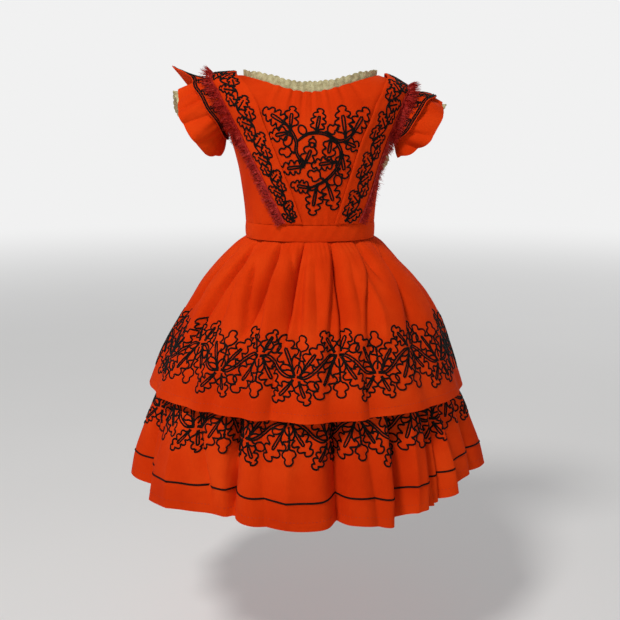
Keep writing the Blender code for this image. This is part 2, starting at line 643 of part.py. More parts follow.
def build_fringe(word, side):
    """A narrow heading strip on the band's outer edge, with one tapered lock growing from every other space."""
    way = np.interp(np.linspace(0, 1, 2 * LOCKS + 1), [0, 0.35, 0.5, 0.65, 1], [0.0, 0.66, 1.0, 1.34, 2.0])
    edges = bretelle_path(way, word)
    width = np.linalg.norm(
        bodice_points(edges[:, 2], edges[:, 3]) - bodice_points(edges[:, 0], edges[:, 1]), axis=1
    )
    part = np.array([1 - HEADING_WIDTH / width, np.full(len(way), 0.985)])
    angle = side * (edges[:, 0] + (edges[:, 2] - edges[:, 0]) * part)
    share = edges[:, 1] + (edges[:, 3] - edges[:, 1]) * part
    strip = off_bodice(angle, share, layer_height(share) + CLOTH / 2 + HEADING_THICKNESS / 2 + 0.0006)
    normals = bodice_normals(angle, share)
    points = np.concatenate([strip + normals * HEADING_THICKNESS / 2, strip - normals * HEADING_THICKNESS / 2])
    points = [tuple(p) for p in points.reshape(-1, 3)]
    columns = len(way)
    faces = wall_faces(strip, False)
    hang = fringe_direction(way, word, side)
    for j in range(0, columns - 1, 2):
        root = {columns + j, columns + j + 1, 3 * columns + j + 1, 3 * columns + j}
        rim = next(f for f in faces if set(f) == root)
        faces.remove(rim)
        corners = np.array([points[i] for i in rim])
        middle = corners.mean(axis=0)
        direction = (hang[j] + hang[j + 1]) / 2
        half_way = middle + direction * LOCK_LENGTH * 0.5
        first = len(points)
        points += [tuple(half_way + (c - middle) * 0.8) for c in corners]
        points.append(tuple(middle + direction * LOCK_LENGTH - normals[1, j] * 0.0008))
        for k in range(4):
            after = (k + 1) % 4
            faces.append((rim[k], rim[after], first + after, first + k))
            faces.append((first + k, first + after, first + 4))
    add_solid("fringe_" + word, np.array(points), faces, "crimson_fringe", CRIMSON_FRINGE)


def main():
    for old in list(bpy.data.objects):
        bpy.data.objects.remove(old)
    build_bodice()
    build_waistband()
    build_placket()
    build_neck_lace()
    build_skirt()
    build_hem_braid()
    build_underarm_lace()
    for word, side in (("left", 1), ("right", -1)):
        build_bretelle(word, side)
        build_fringe(word, side)
        build_sleeve(word, side)


main()
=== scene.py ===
"""Scene of a small child's red wool party dress: cloth, soutache braid, lace and fringe on the CAD frame."""

import math

import bpy
import numpy as np
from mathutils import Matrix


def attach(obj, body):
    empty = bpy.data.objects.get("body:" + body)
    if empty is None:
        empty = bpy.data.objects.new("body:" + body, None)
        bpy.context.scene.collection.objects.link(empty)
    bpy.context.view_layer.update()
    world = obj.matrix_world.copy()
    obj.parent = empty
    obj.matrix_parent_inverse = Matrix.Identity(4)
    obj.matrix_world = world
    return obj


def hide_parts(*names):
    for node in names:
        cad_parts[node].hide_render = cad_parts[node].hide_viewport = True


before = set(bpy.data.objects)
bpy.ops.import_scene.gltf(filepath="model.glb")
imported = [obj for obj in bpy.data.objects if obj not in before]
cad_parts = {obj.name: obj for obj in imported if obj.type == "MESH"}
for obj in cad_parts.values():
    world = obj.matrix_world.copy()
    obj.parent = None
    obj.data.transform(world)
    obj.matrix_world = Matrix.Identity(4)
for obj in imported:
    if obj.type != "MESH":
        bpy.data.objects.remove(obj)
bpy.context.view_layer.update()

BODY = "root"
WORDS = {1: "left", -1: "right"}  # the wearer's two sides, by the sign of their x

# Walls and the room between them, in metres.
CLOTH = 0.0015
THIN_CLOTH = 0.0012
LACE = 0.0010
LACE_WALL = 0.7 * LACE
SEAM_GAP = 0.0003
LAYER_STEP = 0.0023
SHOULDER_EASE = 0.0026  # what the step of a second layer grows by over the shoulder

# Bodice rings: share from waist to neckline, half width, depth in front and behind, height at side, front
# and back.
BODICE_RINGS = (
    (0, 0.0868, 0.0745, 0.07, -0.1912, -0.1905, -0.1912),
    (0.25, 0.0912, 0.08, 0.0735, -0.15, -0.148, -0.15),
    (0.5, 0.0985, 0.0845, 0.0775, -0.108, -0.108, -0.108),
    (0.66, 0.1075, 0.085, 0.08, -0.08, -0.082, -0.078),
    (0.79, 0.119, 0.0824, 0.079, -0.052, -0.064, -0.058),
    (0.87, 0.1265, 0.0778, 0.0745, -0.03, -0.051, -0.047),
    (0.92, 0.125, 0.0735, 0.0695, -0.0165, -0.042, -0.0385),
    (0.96, 0.109, 0.0685, 0.0635, -0.0065, -0.0335, -0.031),
    (1, 0.0905, 0.062, 0.056, 0, -0.0235, -0.0215),
)
BODY_ROUNDNESS = 2.3
BODICE_AXIS = (0, 0, -0.1)
BODICE_RADIUS = 0.1  # a mean one, that turns a seam's gap into degrees
RIGHT_SHOULDER_LIFT = ((0.5, 0), (0.68, 0.005), (0.87, 0.017), (0.92, 0.0145), (0.96, 0.0065), (1, 0))
ARMHOLE_SHARE = 0.785
ARMHOLE_HALF_SHARE = 0.115
ARMHOLE_HALF_ANGLE = 17.5
WAISTBAND_TOP = -0.1918
WAISTBAND_BOTTOM = -0.2125
PLACKET_HALF_ANGLE = 6.0
# The bodice's gathers: their depth at neck and waist, and half the angle that they cover in front and behind.
NECK_GATHER = 0.00105
WAIST_GATHER = 0.0005
GATHERED_FRONT = 52.0
GATHERED_BACK = 40.0

# Shoulder bands: way from the front waist, angle and share of the inner edge, then of the outer edge.
BRETELLE_FRONT = {
    "left": (
        (0, 23.8, 0.012, 49, 0.012), (0.16, 30.3, 0.216, 57.5, 0.208), (0.32, 35.5, 0.41, 63.5, 0.404),
        (0.48, 40.5, 0.6, 68, 0.576), (0.62, 46.8, 0.77, 70.2, 0.7), (0.75, 53.5, 0.88, 70.6, 0.8),
        (0.88, 66, 0.95, 76, 0.885), (1, 90, 0.985, 90, 0.92),
    ),
    "right": (
        (0, 7.7, 0.012, 25.5, 0.012), (0.16, 15.3, 0.216, 35.8, 0.214), (0.32, 22.8, 0.412, 44.7, 0.41),
        (0.48, 30, 0.6, 52.7, 0.576), (0.62, 37.2, 0.776, 58.8, 0.702), (0.75, 45.5, 0.892, 65, 0.8),
        (0.88, 62, 0.955, 74, 0.88), (1, 90, 0.985, 90, 0.92),
    ),
}
BRETELLE_BACK = (
    (1.12, 112, 0.95, 104, 0.885), (1.25, 125, 0.88, 109.5, 0.8), (1.38, 133, 0.77, 110.5, 0.7),
    (1.52, 140, 0.6, 116, 0.576), (1.68, 147, 0.41, 126, 0.404), (1.84, 155, 0.216, 138, 0.208),
    (2, 163, 0.012, 150, 0.012),
)

# Sleeves, by the angle round the armhole: distance out, distance forward and height of the lower tier's hem.
SLEEVE_HEM = {
    "left": (
        (0, 0.1765, 0, -0.037), (40, 0.175, 0.03, -0.05), (75, 0.166, 0.045, -0.068),
        (105, 0.155, 0.047, -0.085), (130, 0.138, 0.04, -0.099), (155, 0.118, 0.028, -0.104),
        (180, 0.1205, 0.002, -0.104), (212, 0.128, -0.034, -0.1), (270, 0.16, -0.047, -0.078),
        (320, 0.175, -0.032, -0.05),
    ),
    "right": (
        (0, 0.1745, 0, -0.02), (40, 0.173, 0.028, -0.044), (75, 0.164, 0.044, -0.066),
        (105, 0.152, 0.047, -0.083), (140, 0.138, 0.037, -0.101), (180, 0.119, 0.002, -0.103),
        (220, 0.138, -0.036, -0.098), (270, 0.16, -0.047, -0.076), (320, 0.174, -0.032, -0.042),
    ),
}
SLEEVE_SEAM = 0.00135
UNDERARM_ROOM = 0.0037
SLEEVE_BULGE = 0.004
SLEEVE_FLUTES = 7
FLUTE_DEPTH = 0.0022
SLEEVE_CREASES = 11
SLEEVE_CREASE_DEPTH = 0.0056
# Points inside the left sleeve. Flutes and folds stand away from the first two, and cloth and braid face away
# from the others.
FLUTE_CORE = (0.145, 0, -0.058)
FOLD_CORE = (0.13, 0, -0.055)
SLEEVE_INSIDE = (0.14, 0, -0.058)
CAP_INSIDE = (0.12, 0, -0.06)
# Upper tier of the sleeve: angle, share covered, stand-off of its hem, and how far the hem turns out and up.
SLEEVE_CAP = {
    "left": (
        (0, 0.78, 0.003, 0, 0), (35, 0.52, 0.004, 0, 0), (70, 0.46, 0.004, 0, 0), (105, 0.4, 0.0035, 0, 0),
        (140, 0.25, 0.002, 0, 0), (180, 0.22, 0.0015, 0, 0), (220, 0.28, 0.002, 0, 0),
        (260, 0.48, 0.0035, 0, 0), (320, 0.66, 0.0045, 0.002, 0.002),
    ),
    "right": (
        (0, 0.62, 0.003, 0, 0.005), (25, 0.5, 0.004, 0, 0), (50, 0.4, 0.004, 0, 0), (75, 0.38, 0.004, 0, 0),
        (105, 0.28, 0.003, 0, 0), (140, 0.22, 0.002, 0, 0), (180, 0.22, 0.0015, 0, 0),
        (220, 0.28, 0.002, 0, 0), (255, 0.42, 0.0035, 0, 0.002), (285, 0.6, 0.0045, 0.004, 0.018),
        (310, 0.8, 0.005, 0.01, 0.036), (328, 0.9, 0.005, 0.014, 0.044), (345, 0.82, 0.004, 0.008, 0.026),
    ),
}
# Sleeve lace: angle, share past the flounce's hem, and how far it turns out and up.
SLEEVE_LACE = {
    "left": (
        (0, 0.1, 0, 0.002), (45, -0.06, 0, 0), (100, -0.08, 0, 0), (180, -0.08, 0, 0), (270, -0.06, 0, 0),
        (330, 0.1, 0, 0.002),
    ),
    "right": (
        (0, 0.16, 0, 0.003), (45, -0.06, 0, 0), (100, -0.08, 0, 0), (180, -0.08, 0, 0), (260, -0.06, 0, 0),
        (335, 0.24, 0, 0.005),
    ),
}
SLEEVE_LACE_TOP = 0.72
SLEEVE_LACE_INSET = 0.0030
SLEEVE_LACE_SCALLOPS = 40
# Underarm lace: angle, share of its lower edge, and how far that edge stands off.
UNDERARM_LACE = (
    (71, 0.42, 0.0015), (80, 0.445, 0.004), (88, 0.49, 0.007), (96, 0.52, 0.0085), (105, 0.54, 0.0085),
)
UNDERARM_LACE_TOP = 0.652

# Skirt tiers: share, height, half width, depth in front and behind, sideways shift, fold depth, and the
# widths of a fold's steep and gentle sides.
UPPER_TIER = (
    (0, -0.214, 0.0886, 0.076, 0.0716, 0, 0.0018, 0.07, 0.14),
    (0.06, -0.221, 0.099, 0.0868, 0.0823, 0, 0.0046, 0.07, 0.18),
    (0.13, -0.231, 0.11, 0.0985, 0.0945, 0, 0.007, 0.08, 0.25),
    (0.25, -0.252, 0.131, 0.119, 0.1155, 0, 0.0105, 0.09, 0.32),
    (0.38, -0.276, 0.1525, 0.139, 0.1365, 0.0012, 0.0125, 0.1, 0.36),
    (0.5, -0.301, 0.1692, 0.1545, 0.153, 0.0024, 0.012, 0.12, 0.38),
    (0.62, -0.329, 0.1847, 0.168, 0.167, 0.001, 0.01, 0.15, 0.4),
    (0.8, -0.373, 0.2055, 0.1862, 0.1862, -0.003, 0.0075, 0.2, 0.42),
    (1, -0.422, 0.2238, 0.203, 0.203, -0.0048, 0.006, 0.24, 0.42),
)
LOWER_TIER = (
    (0, -0.2134, 0.083, 0.0704, 0.066, 0, 0, 0.1, 0.3),
    (0.08, -0.23, 0.0915, 0.0795, 0.0755, 0, 0.001, 0.1, 0.3),
    (0.22, -0.26, 0.113, 0.101, 0.0975, 0, 0.002, 0.1, 0.3),
    (0.4, -0.31, 0.149, 0.1365, 0.134, 0.0015, 0.0035, 0.1, 0.32),
    (0.56, -0.37, 0.181, 0.164, 0.163, -0.002, 0.005, 0.1, 0.35),
    (0.68, -0.42, 0.2065, 0.185, 0.185, -0.0034, 0.008, 0.1, 0.38),
    (0.76, -0.445, 0.2205, 0.194, 0.1945, -0.0038, 0.01, 0.09, 0.4),
    (0.85, -0.484, 0.236, 0.204, 0.205, -0.0042, 0.0125, 0.08, 0.42),
    (0.93, -0.52, 0.2488, 0.21, 0.211, -0.004, 0.015, 0.07, 0.44),
    (1, -0.5537, 0.256, 0.2125, 0.214, -0.0036, 0.0165, 0.06, 0.45),
)
SKIRT_ROUNDNESS = 1.95
SKIRT_AXIS = (0, 0, -0.35)
# Folds of each tier: angle at the waist and at the hem, size, and the side that the fold leans to.
UPPER_FOLDS = (
    (-171, -171, 0.8, -1), (-147, -146, 0.9, -1), (-123, -121, 0.8, -1), (-99, -96, 1, -1),
    (-75, -72, 0.8, -1), (-51, -48, 1, -1), (-26, -25, 1.25, -1), (-3.3, -6, 1, -1), (18.6, 9, 1, 1),
    (45, 27, 0.9, 1), (69, 50, 0.8, 1), (93, 78, 0.9, 1), (117, 104, 0.8, 1), (141, 132, 0.9, 1),
    (165, 160, 0.8, 1),
)
LOWER_FOLDS = (
    (-170, -170, 0.7, -1), (-147, -147, 0.9, -1), (-123, -123, 0.8, -1), (-101, -101, 0.9, -1),
    (-82, -81, 0.9, -1), (-66, -65, 1, -1), (-28, -29, 0.6, -1), (6, 11, 0.5, 1), (32, 33, 0.9, 1),
    (48, 48.5, 0.6, 1), (58, 57.5, 0.9, 1), (82, 82, 0.8, 1), (104, 104, 0.9, 1), (128, 128, 0.8, 1),
    (150, 150, 0.8, 1),
)
# How far each hem is lifted, by angle.
UPPER_LIFT = (
    (-180, 0), (-100, 0.001), (-70, 0.0045), (-40, 0.006), (0, 0.005), (30, 0.006), (55, 0.0045),
    (80, 0.0015), (110, 0), (180, 0),
)
HEM_LIFT = (
    (-180, 0), (-110, 0.004), (-85, 0.012), (-73, 0.01), (-62, 0.001), (-50, 0.005), (-36, 0.009),
    (-22, 0.005), (0, 0.002), (20, 0.003), (32, -0.003), (38, 0.006), (50, 0.01), (62, 0.024), (80, 0.026),
    (100, 0.018), (140, 0.002), (180, 0),
)
HEM_BRAID_SHARE = 0.925
# Finer creases on the skirt: angle and share where each starts and where it ends, how far its middle bows off
# in degrees, half width on its left and on its right in degrees, and depth in metres, below zero for a ridge.
UPPER_CREASES = (
    (-69, -0.06, -84, 0.66, 0, 1.2, 3.5, 0.0056), (-54, -0.08, -60, 0.76, -1.5, 1, 4.2, 0.0078),
    (-31, -0.08, -33, 0.64, 4.8, 3.5, 0.9, 0.0074), (-42, 0.14, -32, 0.62, 0, 1.1, 3, 0.005),
    (-3.2, -0.08, -11.5, 0.66, -1.5, 4.5, 0.8, 0.0076), (-20, -0.04, -9, 0.3, 0, 2.6, 2, 0.0034),
    (22.6, -0.08, 13, 0.72, -1.6, 1, 3.5, 0.0072), (44.5, -0.08, 46.2, 0.32, 0, 1.2, 3, 0.0052),
    (49, -0.04, 46.4, 0.26, 0.5, 1.4, 1.4, 0.003), (39, 0.1, 33, 0.7, 0, 3.2, 2.6, -0.003),
    (-24, 0.2, -22, 0.7, 0, 3.5, 3.5, -0.0026), (4, 0.1, 2, 0.6, 0, 3.5, 3, 0.0026),
    (30, 0.14, 22, 0.6, 0, 3, 3, 0.0022), (66, -0.08, 52, 0.6, 0, 1.4, 3.6, 0.0052),
    (105, 0.05, 91, 0.6, 0, 3, 3, 0.003), (-14, 0.62, -13, 1.15, 0, 3.5, 3, 0.004),
    (-36, 0.66, -37, 1.15, 0, 4, 3, 0.0035), (24, 0.62, 23, 1.15, 0, 3, 4, 0.0032),
)
LOWER_CREASES = (
    (-31, 0.56, -26.5, 1.12, 0, 1.2, 4.5, 0.01), (-47, 0.68, -34, 0.98, 0, 2.6, 1.2, 0.0066),
    (-53, 0.66, -50, 1.08, 0, 3.5, 3.5, -0.003), (-18, 0.66, -13, 1.1, 0, 3.5, 3.5, 0.0036),
    (-6, 0.66, -7, 1, 0, 3, 3, -0.0026), (11, 0.54, 11.6, 1.16, 0, 4.6, 2.4, 0.0105),
    (22, 0.7, 26, 1.1, 0, 3, 3, 0.0032), (36, 0.58, 30.5, 1.14, 0, 1.4, 4, 0.008),
    (41, 0.66, 39, 1.1, 0, 2, 2, -0.0028), (51, 0.58, 43.5, 1.14, 0, 1.4, 3.2, 0.007),
    (54, 0.62, 50.5, 1.14, 0, 1.2, 2.6, 0.006), (70, 0.6, 70, 1.12, 0, 2, 4, 0.006),
    (-91, 0.6, -89, 1.12, 0, 4, 2, 0.006), (-72, 0.6, -68, 1.12, 0, 3.4, 1.4, 0.007),
)
# The even creases at the sides and back, by the angles where each starts and where it ends.
UPPER_EVEN = (
    (87, 72), (123, 112), (147, 141), (171, 170), (-93, -104), (-117, -124), (-141, -144), (-165, -166),
)
LOWER_EVEN = ((93, 94), (116, 115), (140, 139), (168, 170), (-158, -157), (-134, -135), (-112, -112))


def even_creases(turns, top, bottom, widths, depth):
    """Rows for like creases, with the first width on the side that faces the front."""
    return tuple(
        (start, top, end, bottom, 0, *(widths if start > 0 else widths[::-1]), depth) for start, end in turns
    )


UPPER_CREASES += even_creases(UPPER_EVEN, -0.08, 0.60, (1.4, 3.6), 0.0048)
LOWER_CREASES += even_creases(LOWER_EVEN, 0.60, 1.12, (3, 4), 0.0060)
UPPER = (UPPER_TIER, UPPER_FOLDS, UPPER_LIFT, UPPER_CREASES)
LOWER = (LOWER_TIER, LOWER_FOLDS, HEM_LIFT, LOWER_CREASES)

# Edges hidden under the waistband: how far in, and how far along the axis for the near and the far row.
BODICE_TUCK = (0.0023, -0.0003, -0.0045)
SKIRT_TUCK = (0.0036, 0.0002, 0.0045)

# Neck lace.
NECK_LACE_BELOW = 0.006
NECK_LACE_ABOVE = (0.0125, 0.0070)  # in front and behind, then at the sides
NECK_LACE_INSET = 0.0027
NECK_LACE_SCALLOPS = 58
NECK_RADIUS = 0.056

# Soutache braid.
BRAID_SIZE = (0.0025, 0.0009)  # width and height
BRAID_STEP = 0.0020
BRAID_PROBE = (0.0006, 0.0006)  # steps that find the cloth's direction under a braid
HIDDEN_RISE = 0.150  # above this height the lower tier is covered by the upper one
HUB_PITCH = 0.058
# The skirt's bands: name, tier, wall, height of the middle above the hem, start round it, scale, and the
# height above which lines are left out.
SKIRT_BANDS = (
    ("upper", UPPER, CLOTH, 0.071, 0.014, 1.0, 1.0),
    ("lower", LOWER, THIN_CLOTH, 0.127, 0.044, 0.98, HIDDEN_RISE),
)
BAND_SHARE = 0.80  # where a band's length is measured round its tier

# Running stitches of the hems. Each row has its name, tier, wall and height above the hem.
STITCH = 0.0021
STITCH_PITCH = 2.2 * STITCH
STITCH_SIZE = (0.0006, 0.00035)  # width and height
STITCH_SUNK = 0.0001
STITCH_SHARE = 0.97  # where their spacing is measured round the tier
STITCH_ROWS = (("upper", UPPER, CLOTH, 0.011), ("lower", LOWER, THIN_CLOTH, 0.012))

# Fringe.
HEADING_WIDTH = 0.0032
HEADING_WALL = 0.0010
STRANDS = 2500
STRAND_LENGTH = 0.0128
STRAND_RADIUS = 0.00033
FRINGE_TUFTS = 55
FRINGE_RAISE = 0.35
FRINGE_TOP_RAISE = 1.3
SHOULDER_STRANDS = 1.30  # strand length over the shoulder, as a share of the length below

# Camera, floor and light.
CAMERA_PLACE = (0.0, -1.1876, -0.0705)
CAMERA_TILT = 11.8067
FLOOR_HEIGHT = -0.80
FLOOR_RINGS = (0.8, 3.0, 14.0)
FLOOR_SIDES = 96
FLOOR_GLOW = 0.28  # share of the background's light that the floor has even near the dress
FLOOR_FADE = (0.9, 6.0)  # distances between which the floor turns into the background
WORLD_FADE = (0.15, 0.32)  # heights of the view direction between which the background darkens
WORLD_LOW = 0.88
WORLD_HIGH = 0.10
# Lights: name, place, the point it faces, diameter, power in watts and colour.
LIGHTS = (
    ("key_light", (-1.10, -1.6, 2.2), (0, 0, -0.2), 0.7, 72.0, (1.0, 0.98, 0.95)),
    ("fill_light", (2.2, -1.8, 0.6), (0, 0, -0.3), 1.6, 2.0, (0.97, 0.98, 1.0)),
    ("back_light", (1.2, 2.4, 1.4), (0, 0, -0.3), 1.5, 16.0, (1.0, 1.0, 1.0)),
)


# Small helpers.

def unit(vectors):
    return vectors / np.maximum(np.linalg.norm(vectors, axis=-1, keepdims=True), 1e-12)


def ramp(value, start, end):
    """0 up to start, 1 past end and straight between them. start may be the greater of the two."""
    return np.clip((value - start) / (end - start), 0, 1)


def matched(*values):
    """The values as arrays of one shape."""
    return np.broadcast_arrays(*(np.asarray(value, float) for value in values))


def pairs(u, v):
    return np.stack(np.broadcast_arrays(u, v), axis=-1)


def sided(point, side):
    """A point on the wearer's left, or its mirror image on the right."""
    return np.array(point) * [side, 1, 1]


def run_along(points):
    """Distance run along a line of points, from 0."""
    return np.concatenate([[0], np.cumsum(np.linalg.norm(np.diff(points, axis=0), axis=1))])


def half_turned(angle):
    """The same angle between -180 and 180 degrees."""
    return (angle + 180) % 360 - 180


def surface_normals(surface, a, b, step_a, step_b):
    """Unit normals of surface(a, b), from small steps in a and b."""
    by_a = surface(a + step_a, b) - surface(a - step_a, b)
    by_b = surface(a, b + step_b) - surface(a, b - step_b)
    return unit(np.cross(by_a, by_b))


# Curves and surfaces, as in the CAD.

def spline(table, where):
    """Smooth curves through a table's rows, whose first column is the position. Returns the other columns."""
    table = np.asarray(table, float)
    knots, values = table[:, 0], table[:, 1:]
    slopes = np.gradient(values, knots, axis=0)
    where = np.clip(np.asarray(where, float), knots[0], knots[-1])
    below = np.clip(np.searchsorted(knots, where, side="right") - 1, 0, len(knots) - 2)
    span = (knots[below + 1] - knots[below])[..., None]
    u = (where - knots[below])[..., None] / span
    curves = (
        (2 * u**3 - 3 * u**2 + 1) * values[below]
        + (u**3 - 2 * u**2 + u) * span * slopes[below]
        + (3 * u**2 - 2 * u**3) * values[below + 1]
        + (u**3 - u**2) * span * slopes[below + 1]
    )
    return np.moveaxis(curves, -1, 0)


def ring_spline(table, around):
    """Smooth closed curves through a table whose first column is an angle."""
    table = np.array(table)
    first = np.eye(1, table.shape[1])
    return spline(np.concatenate([table + turn * first for turn in (-360, 0, 360)]), around)


def ring_radius(angle, side, front, back, roundness):
    """Distance from the axis to a ring's outline, at an angle in degrees from the front."""
    across, along = np.sin(np.radians(angle)), np.cos(np.radians(angle))
    depth = np.where(along > 0, front, back)
    power = np.abs(across / side) ** roundness + np.abs(along / depth) ** roundness
    return power ** (-1 / roundness)


def round_the_axis(angle, radius, height):
    turn = np.radians(angle)
    return np.stack([radius * np.sin(turn), -radius * np.cos(turn), height], axis=-1)


def bodice_points(angle, share):
    """Points on the middle of the bodice's cloth, still without its gathers."""
    angle, share = matched(angle, share)
    side, front, back, z_side, z_front, z_back = spline(BODICE_RINGS, share)
    facing = np.cos(np.radians(angle))
    height = z_side + (np.where(facing > 0, z_front, z_back) - z_side) * facing**2
    height = height + spline(RIGHT_SHOULDER_LIFT, share)[0] * np.clip(-np.sin(np.radians(angle)), 0, 1) ** 6
    return round_the_axis(angle, ring_radius(angle, side, front, back, BODY_ROUNDNESS), height)


def bodice_normals(angle, share, step=0.004):
    """Unit vectors pointing out of the bodice's cloth."""
    return surface_normals(bodice_points, angle, np.clip(share, step, 1 - step), 0.5, step)


def layer_height(share):
    """How far the middle of a second layer lies from the bodice's. It is more over the shoulder's curve."""
    return LAYER_STEP + SHOULDER_EASE * ramp(share, 0.70, 0.82)


def off_bodice(angle, share, distance):
    return bodice_points(angle, share) + bodice_normals(angle, share) * np.asarray(distance)[..., None]


def bodice_cloth(angle, share):
    """The bodice with the short gathers under its neckline and the soft pull above the waist."""
    wide = np.clip(1 - (np.abs(angle) / GATHERED_FRONT) ** 4, 0, 1)
    wide = wide + np.clip(1 - (np.abs(180 - np.abs(angle)) / GATHERED_BACK) ** 4, 0, 1)
    turn = np.radians(angle)
    ripple = 0.45 * np.cos(62 * turn + 1.3 * np.sin(5 * turn))
    ripple = ripple + np.cos(33 * turn + 2.0 + 1.2 * np.sin(3 * turn))
    at_neck = NECK_GATHER * wide * ripple * ramp(share, 0.66, 1.0) ** 1.6
    at_waist = WAIST_GATHER * ripple * ramp(share, 0.14, 0.0) ** 1.5
    return off_bodice(angle, share, at_neck + at_waist)


def armhole_edge(share):
    reach = np.clip(1 - ((share - ARMHOLE_SHARE) / ARMHOLE_HALF_SHARE) ** 2, 0, 1)
    return 90.0 - ARMHOLE_HALF_ANGLE * np.sqrt(reach)


def bretelle_path(way, side):
    """Angle and share of both edges. way is 0 at the front waist, 1 at the shoulder and 2 at the back."""
    return spline(BRETELLE_FRONT[WORDS[side]] + BRETELLE_BACK, way)


def bretelle_place(way, across, side):
    """Angle and share of points on the band, from its inner edge at across 0 to its outer edge at 1."""
    inner_angle, inner_share, outer_angle, outer_share = bretelle_path(way, side)
    angle = side * (inner_angle + (outer_angle - inner_angle) * across)
    return angle, inner_share + (outer_share - inner_share) * across


def bretelle_cloth(way, across, side):
    """The band's cloth. Its inner edge is rolled a little."""
    angle, share = bretelle_place(way, across, side)
    roll = 0.0010 * np.exp(-(((across - 0.05) / 0.05) ** 2))
    pucker = 0.00018 * np.sin(90 * way + 9 * across) * np.sin(np.pi * np.clip(across, 0, 1))
    return off_bodice(angle, share, layer_height(share) + roll + pucker)


def sleeve_points(around, down, side):
    """Points of the lower sleeve tier: around in degrees, and down from 0 at the seam to 1 at the hem."""
    around, down = matched(around, down)
    turn = np.radians(around)
    angle = 90 - (ARMHOLE_HALF_ANGLE - 0.2) * np.sin(turn)
    share = ARMHOLE_SHARE + (ARMHOLE_HALF_SHARE - 0.002) * np.cos(turn)
    start = off_bodice(side * angle, share, SLEEVE_SEAM + UNDERARM_ROOM * np.clip(-np.cos(turn), 0, 1))
    out, forward, height = ring_spline(SLEEVE_HEM[WORDS[side]], around)
    end = np.stack([side * out, -forward, height], axis=-1)
    away = unit((end - sided(FLUTE_CORE, side)) * np.array([0.35, 1.0, 1.0]))
    swell = SLEEVE_BULGE * np.sin(np.pi * np.clip(down, 0, 1))
    flute = FLUTE_DEPTH * np.clip(down, 0, 1.2) ** 2 * np.cos(SLEEVE_FLUTES * turn + 0.4 * side)
    return start + (end - start) * down[..., None] + away * (swell + flute)[..., None]


def sleeve_cloth(around, down, side):
    """The flounce with its finer folds."""
    turn = np.radians(around)
    points = sleeve_points(around, down, side)
    away = unit((points - sided(FOLD_CORE, side)) * np.array([0.2, 1.0, 1.0]))
    fine = 0.0009 * np.cos(23 * turn + 2.2 * np.sin(2 * turn)) * np.clip(1 - down, 0, 1)
    phase = SLEEVE_CREASES / 2 * turn + 1.1 * np.sin(2 * turn + side) + 1.5 * down
    fold = SLEEVE_CREASE_DEPTH * (np.abs(np.sin(phase)) - 0.6) * np.clip(down * 1.6, 0, 1) * (1 - 0.35 * down)
    return points + away * (fine + fold)[..., None]


def cap_cloth(around, down, side):
    """The upper sleeve tier: down runs from 0 at the seam to 1 at its own hem."""
    covers, stands, out, up = ring_spline(SLEEVE_CAP[WORDS[side]], around)
    reach = 0.02 + (covers - 0.02) * down
    normals = side * surface_normals(lambda a, b: sleeve_points(a, b, side), around, reach, 1.0, 0.02)
    stand_off = THIN_CLOTH + 2 * SEAM_GAP + stands * down
    points = sleeve_points(around, reach, side) + normals * stand_off[..., None]
    points[..., 0] += side * out * down**2
    points[..., 2] += up * down**2
    return points


def crease_depth(creases, angle, share):
    """Depth of the listed creases at each point of a tier."""
    depth = np.zeros(np.broadcast(angle, share).shape)
    for angle_0, share_0, angle_1, share_1, bow, left, right, deep in creases:
        along = (share - share_0) / (share_1 - share_0)
        off = half_turned(angle - angle_0 - (angle_1 - angle_0) * along - bow * 4 * along * (1 - along))
        fade = np.clip(np.sin(np.pi * np.clip(along, 0, 1)), 0, 1) ** 0.7
        apart = np.abs(off) / np.where(off < 0, left, right)
        depth += deep * (0.55 * np.exp(-(apart**2)) + 0.65 * np.exp(-1.6 * apart)) * fade
    return depth


def tier_cloth(tier, column, share):
    """Points of a skirt tier. column counts the folds round it, and share runs from the waist to the hem."""
    rings, folds, lift, creases = tier
    column, share = matched(column, share)
    height, side, front, back, shift, depth, steep, gentle = spline(rings, share)
    waist_angle, hem_angle, size, lean = np.array(sorted(folds)).T
    this = np.floor(column).astype(int) % len(folds)
    following = (this + 1) % len(folds)
    settle = ramp(share, 0, 0.6)
    settle = settle * settle * (3 - 2 * settle)
    line = waist_angle[this] + (hem_angle[this] - waist_angle[this]) * settle
    next_line = waist_angle[following] + (hem_angle[following] - waist_angle[following]) * settle
    part = column - np.floor(column)
    angle = line + (next_line + 360 * (following == 0) - line) * part
    after = np.where(lean[this] > 0, gentle, steep)
    before = np.where(lean[following] > 0, steep, gentle)
    dip = size[this] * np.exp(-((part / after) ** 2))
    dip = dip + size[following] * np.exp(-(((1 - part) / before) ** 2))
    turn = np.radians(angle)
    tuck = 0.0007 * np.cos(88 * turn + 1.5 * np.sin(4 * turn)) * np.exp(-share / 0.10) * ramp(share, 0, 0.02)
    drift = 0.0011 * np.sin(11 * turn + 7 * share) * np.sin(2.6 * share + 3 * np.sin(2 * turn))
    drift = drift + 0.0006 * np.sin(29 * turn - 9 * share) * ramp(share, 0, 0.4)
    radius = ring_radius(angle, side, front, back, SKIRT_ROUNDNESS) - depth * dip + tuck + drift
    radius = radius - crease_depth(creases, angle, share) * np.clip(0.30 + share / 0.14, 0, 1.9)
    points = round_the_axis(angle, radius, height)
    points[..., 0] += shift
    points[..., 2] += spline(lift, half_turned(angle))[0] * share**2.5
    return points


def tucked(points, inward, step, drop):
    """Two more rows that carry a panel's edge inward and along the axis, out of sight under the waistband."""
    edge = points[:1].copy()
    reach = np.linalg.norm(edge[..., :2], axis=2, keepdims=True)
    edge[..., :2] *= (reach - inward) / reach
    return np.concatenate([edge + np.array([0, 0, drop]), edge + np.array([0, 0, step]), points])


# Materials.

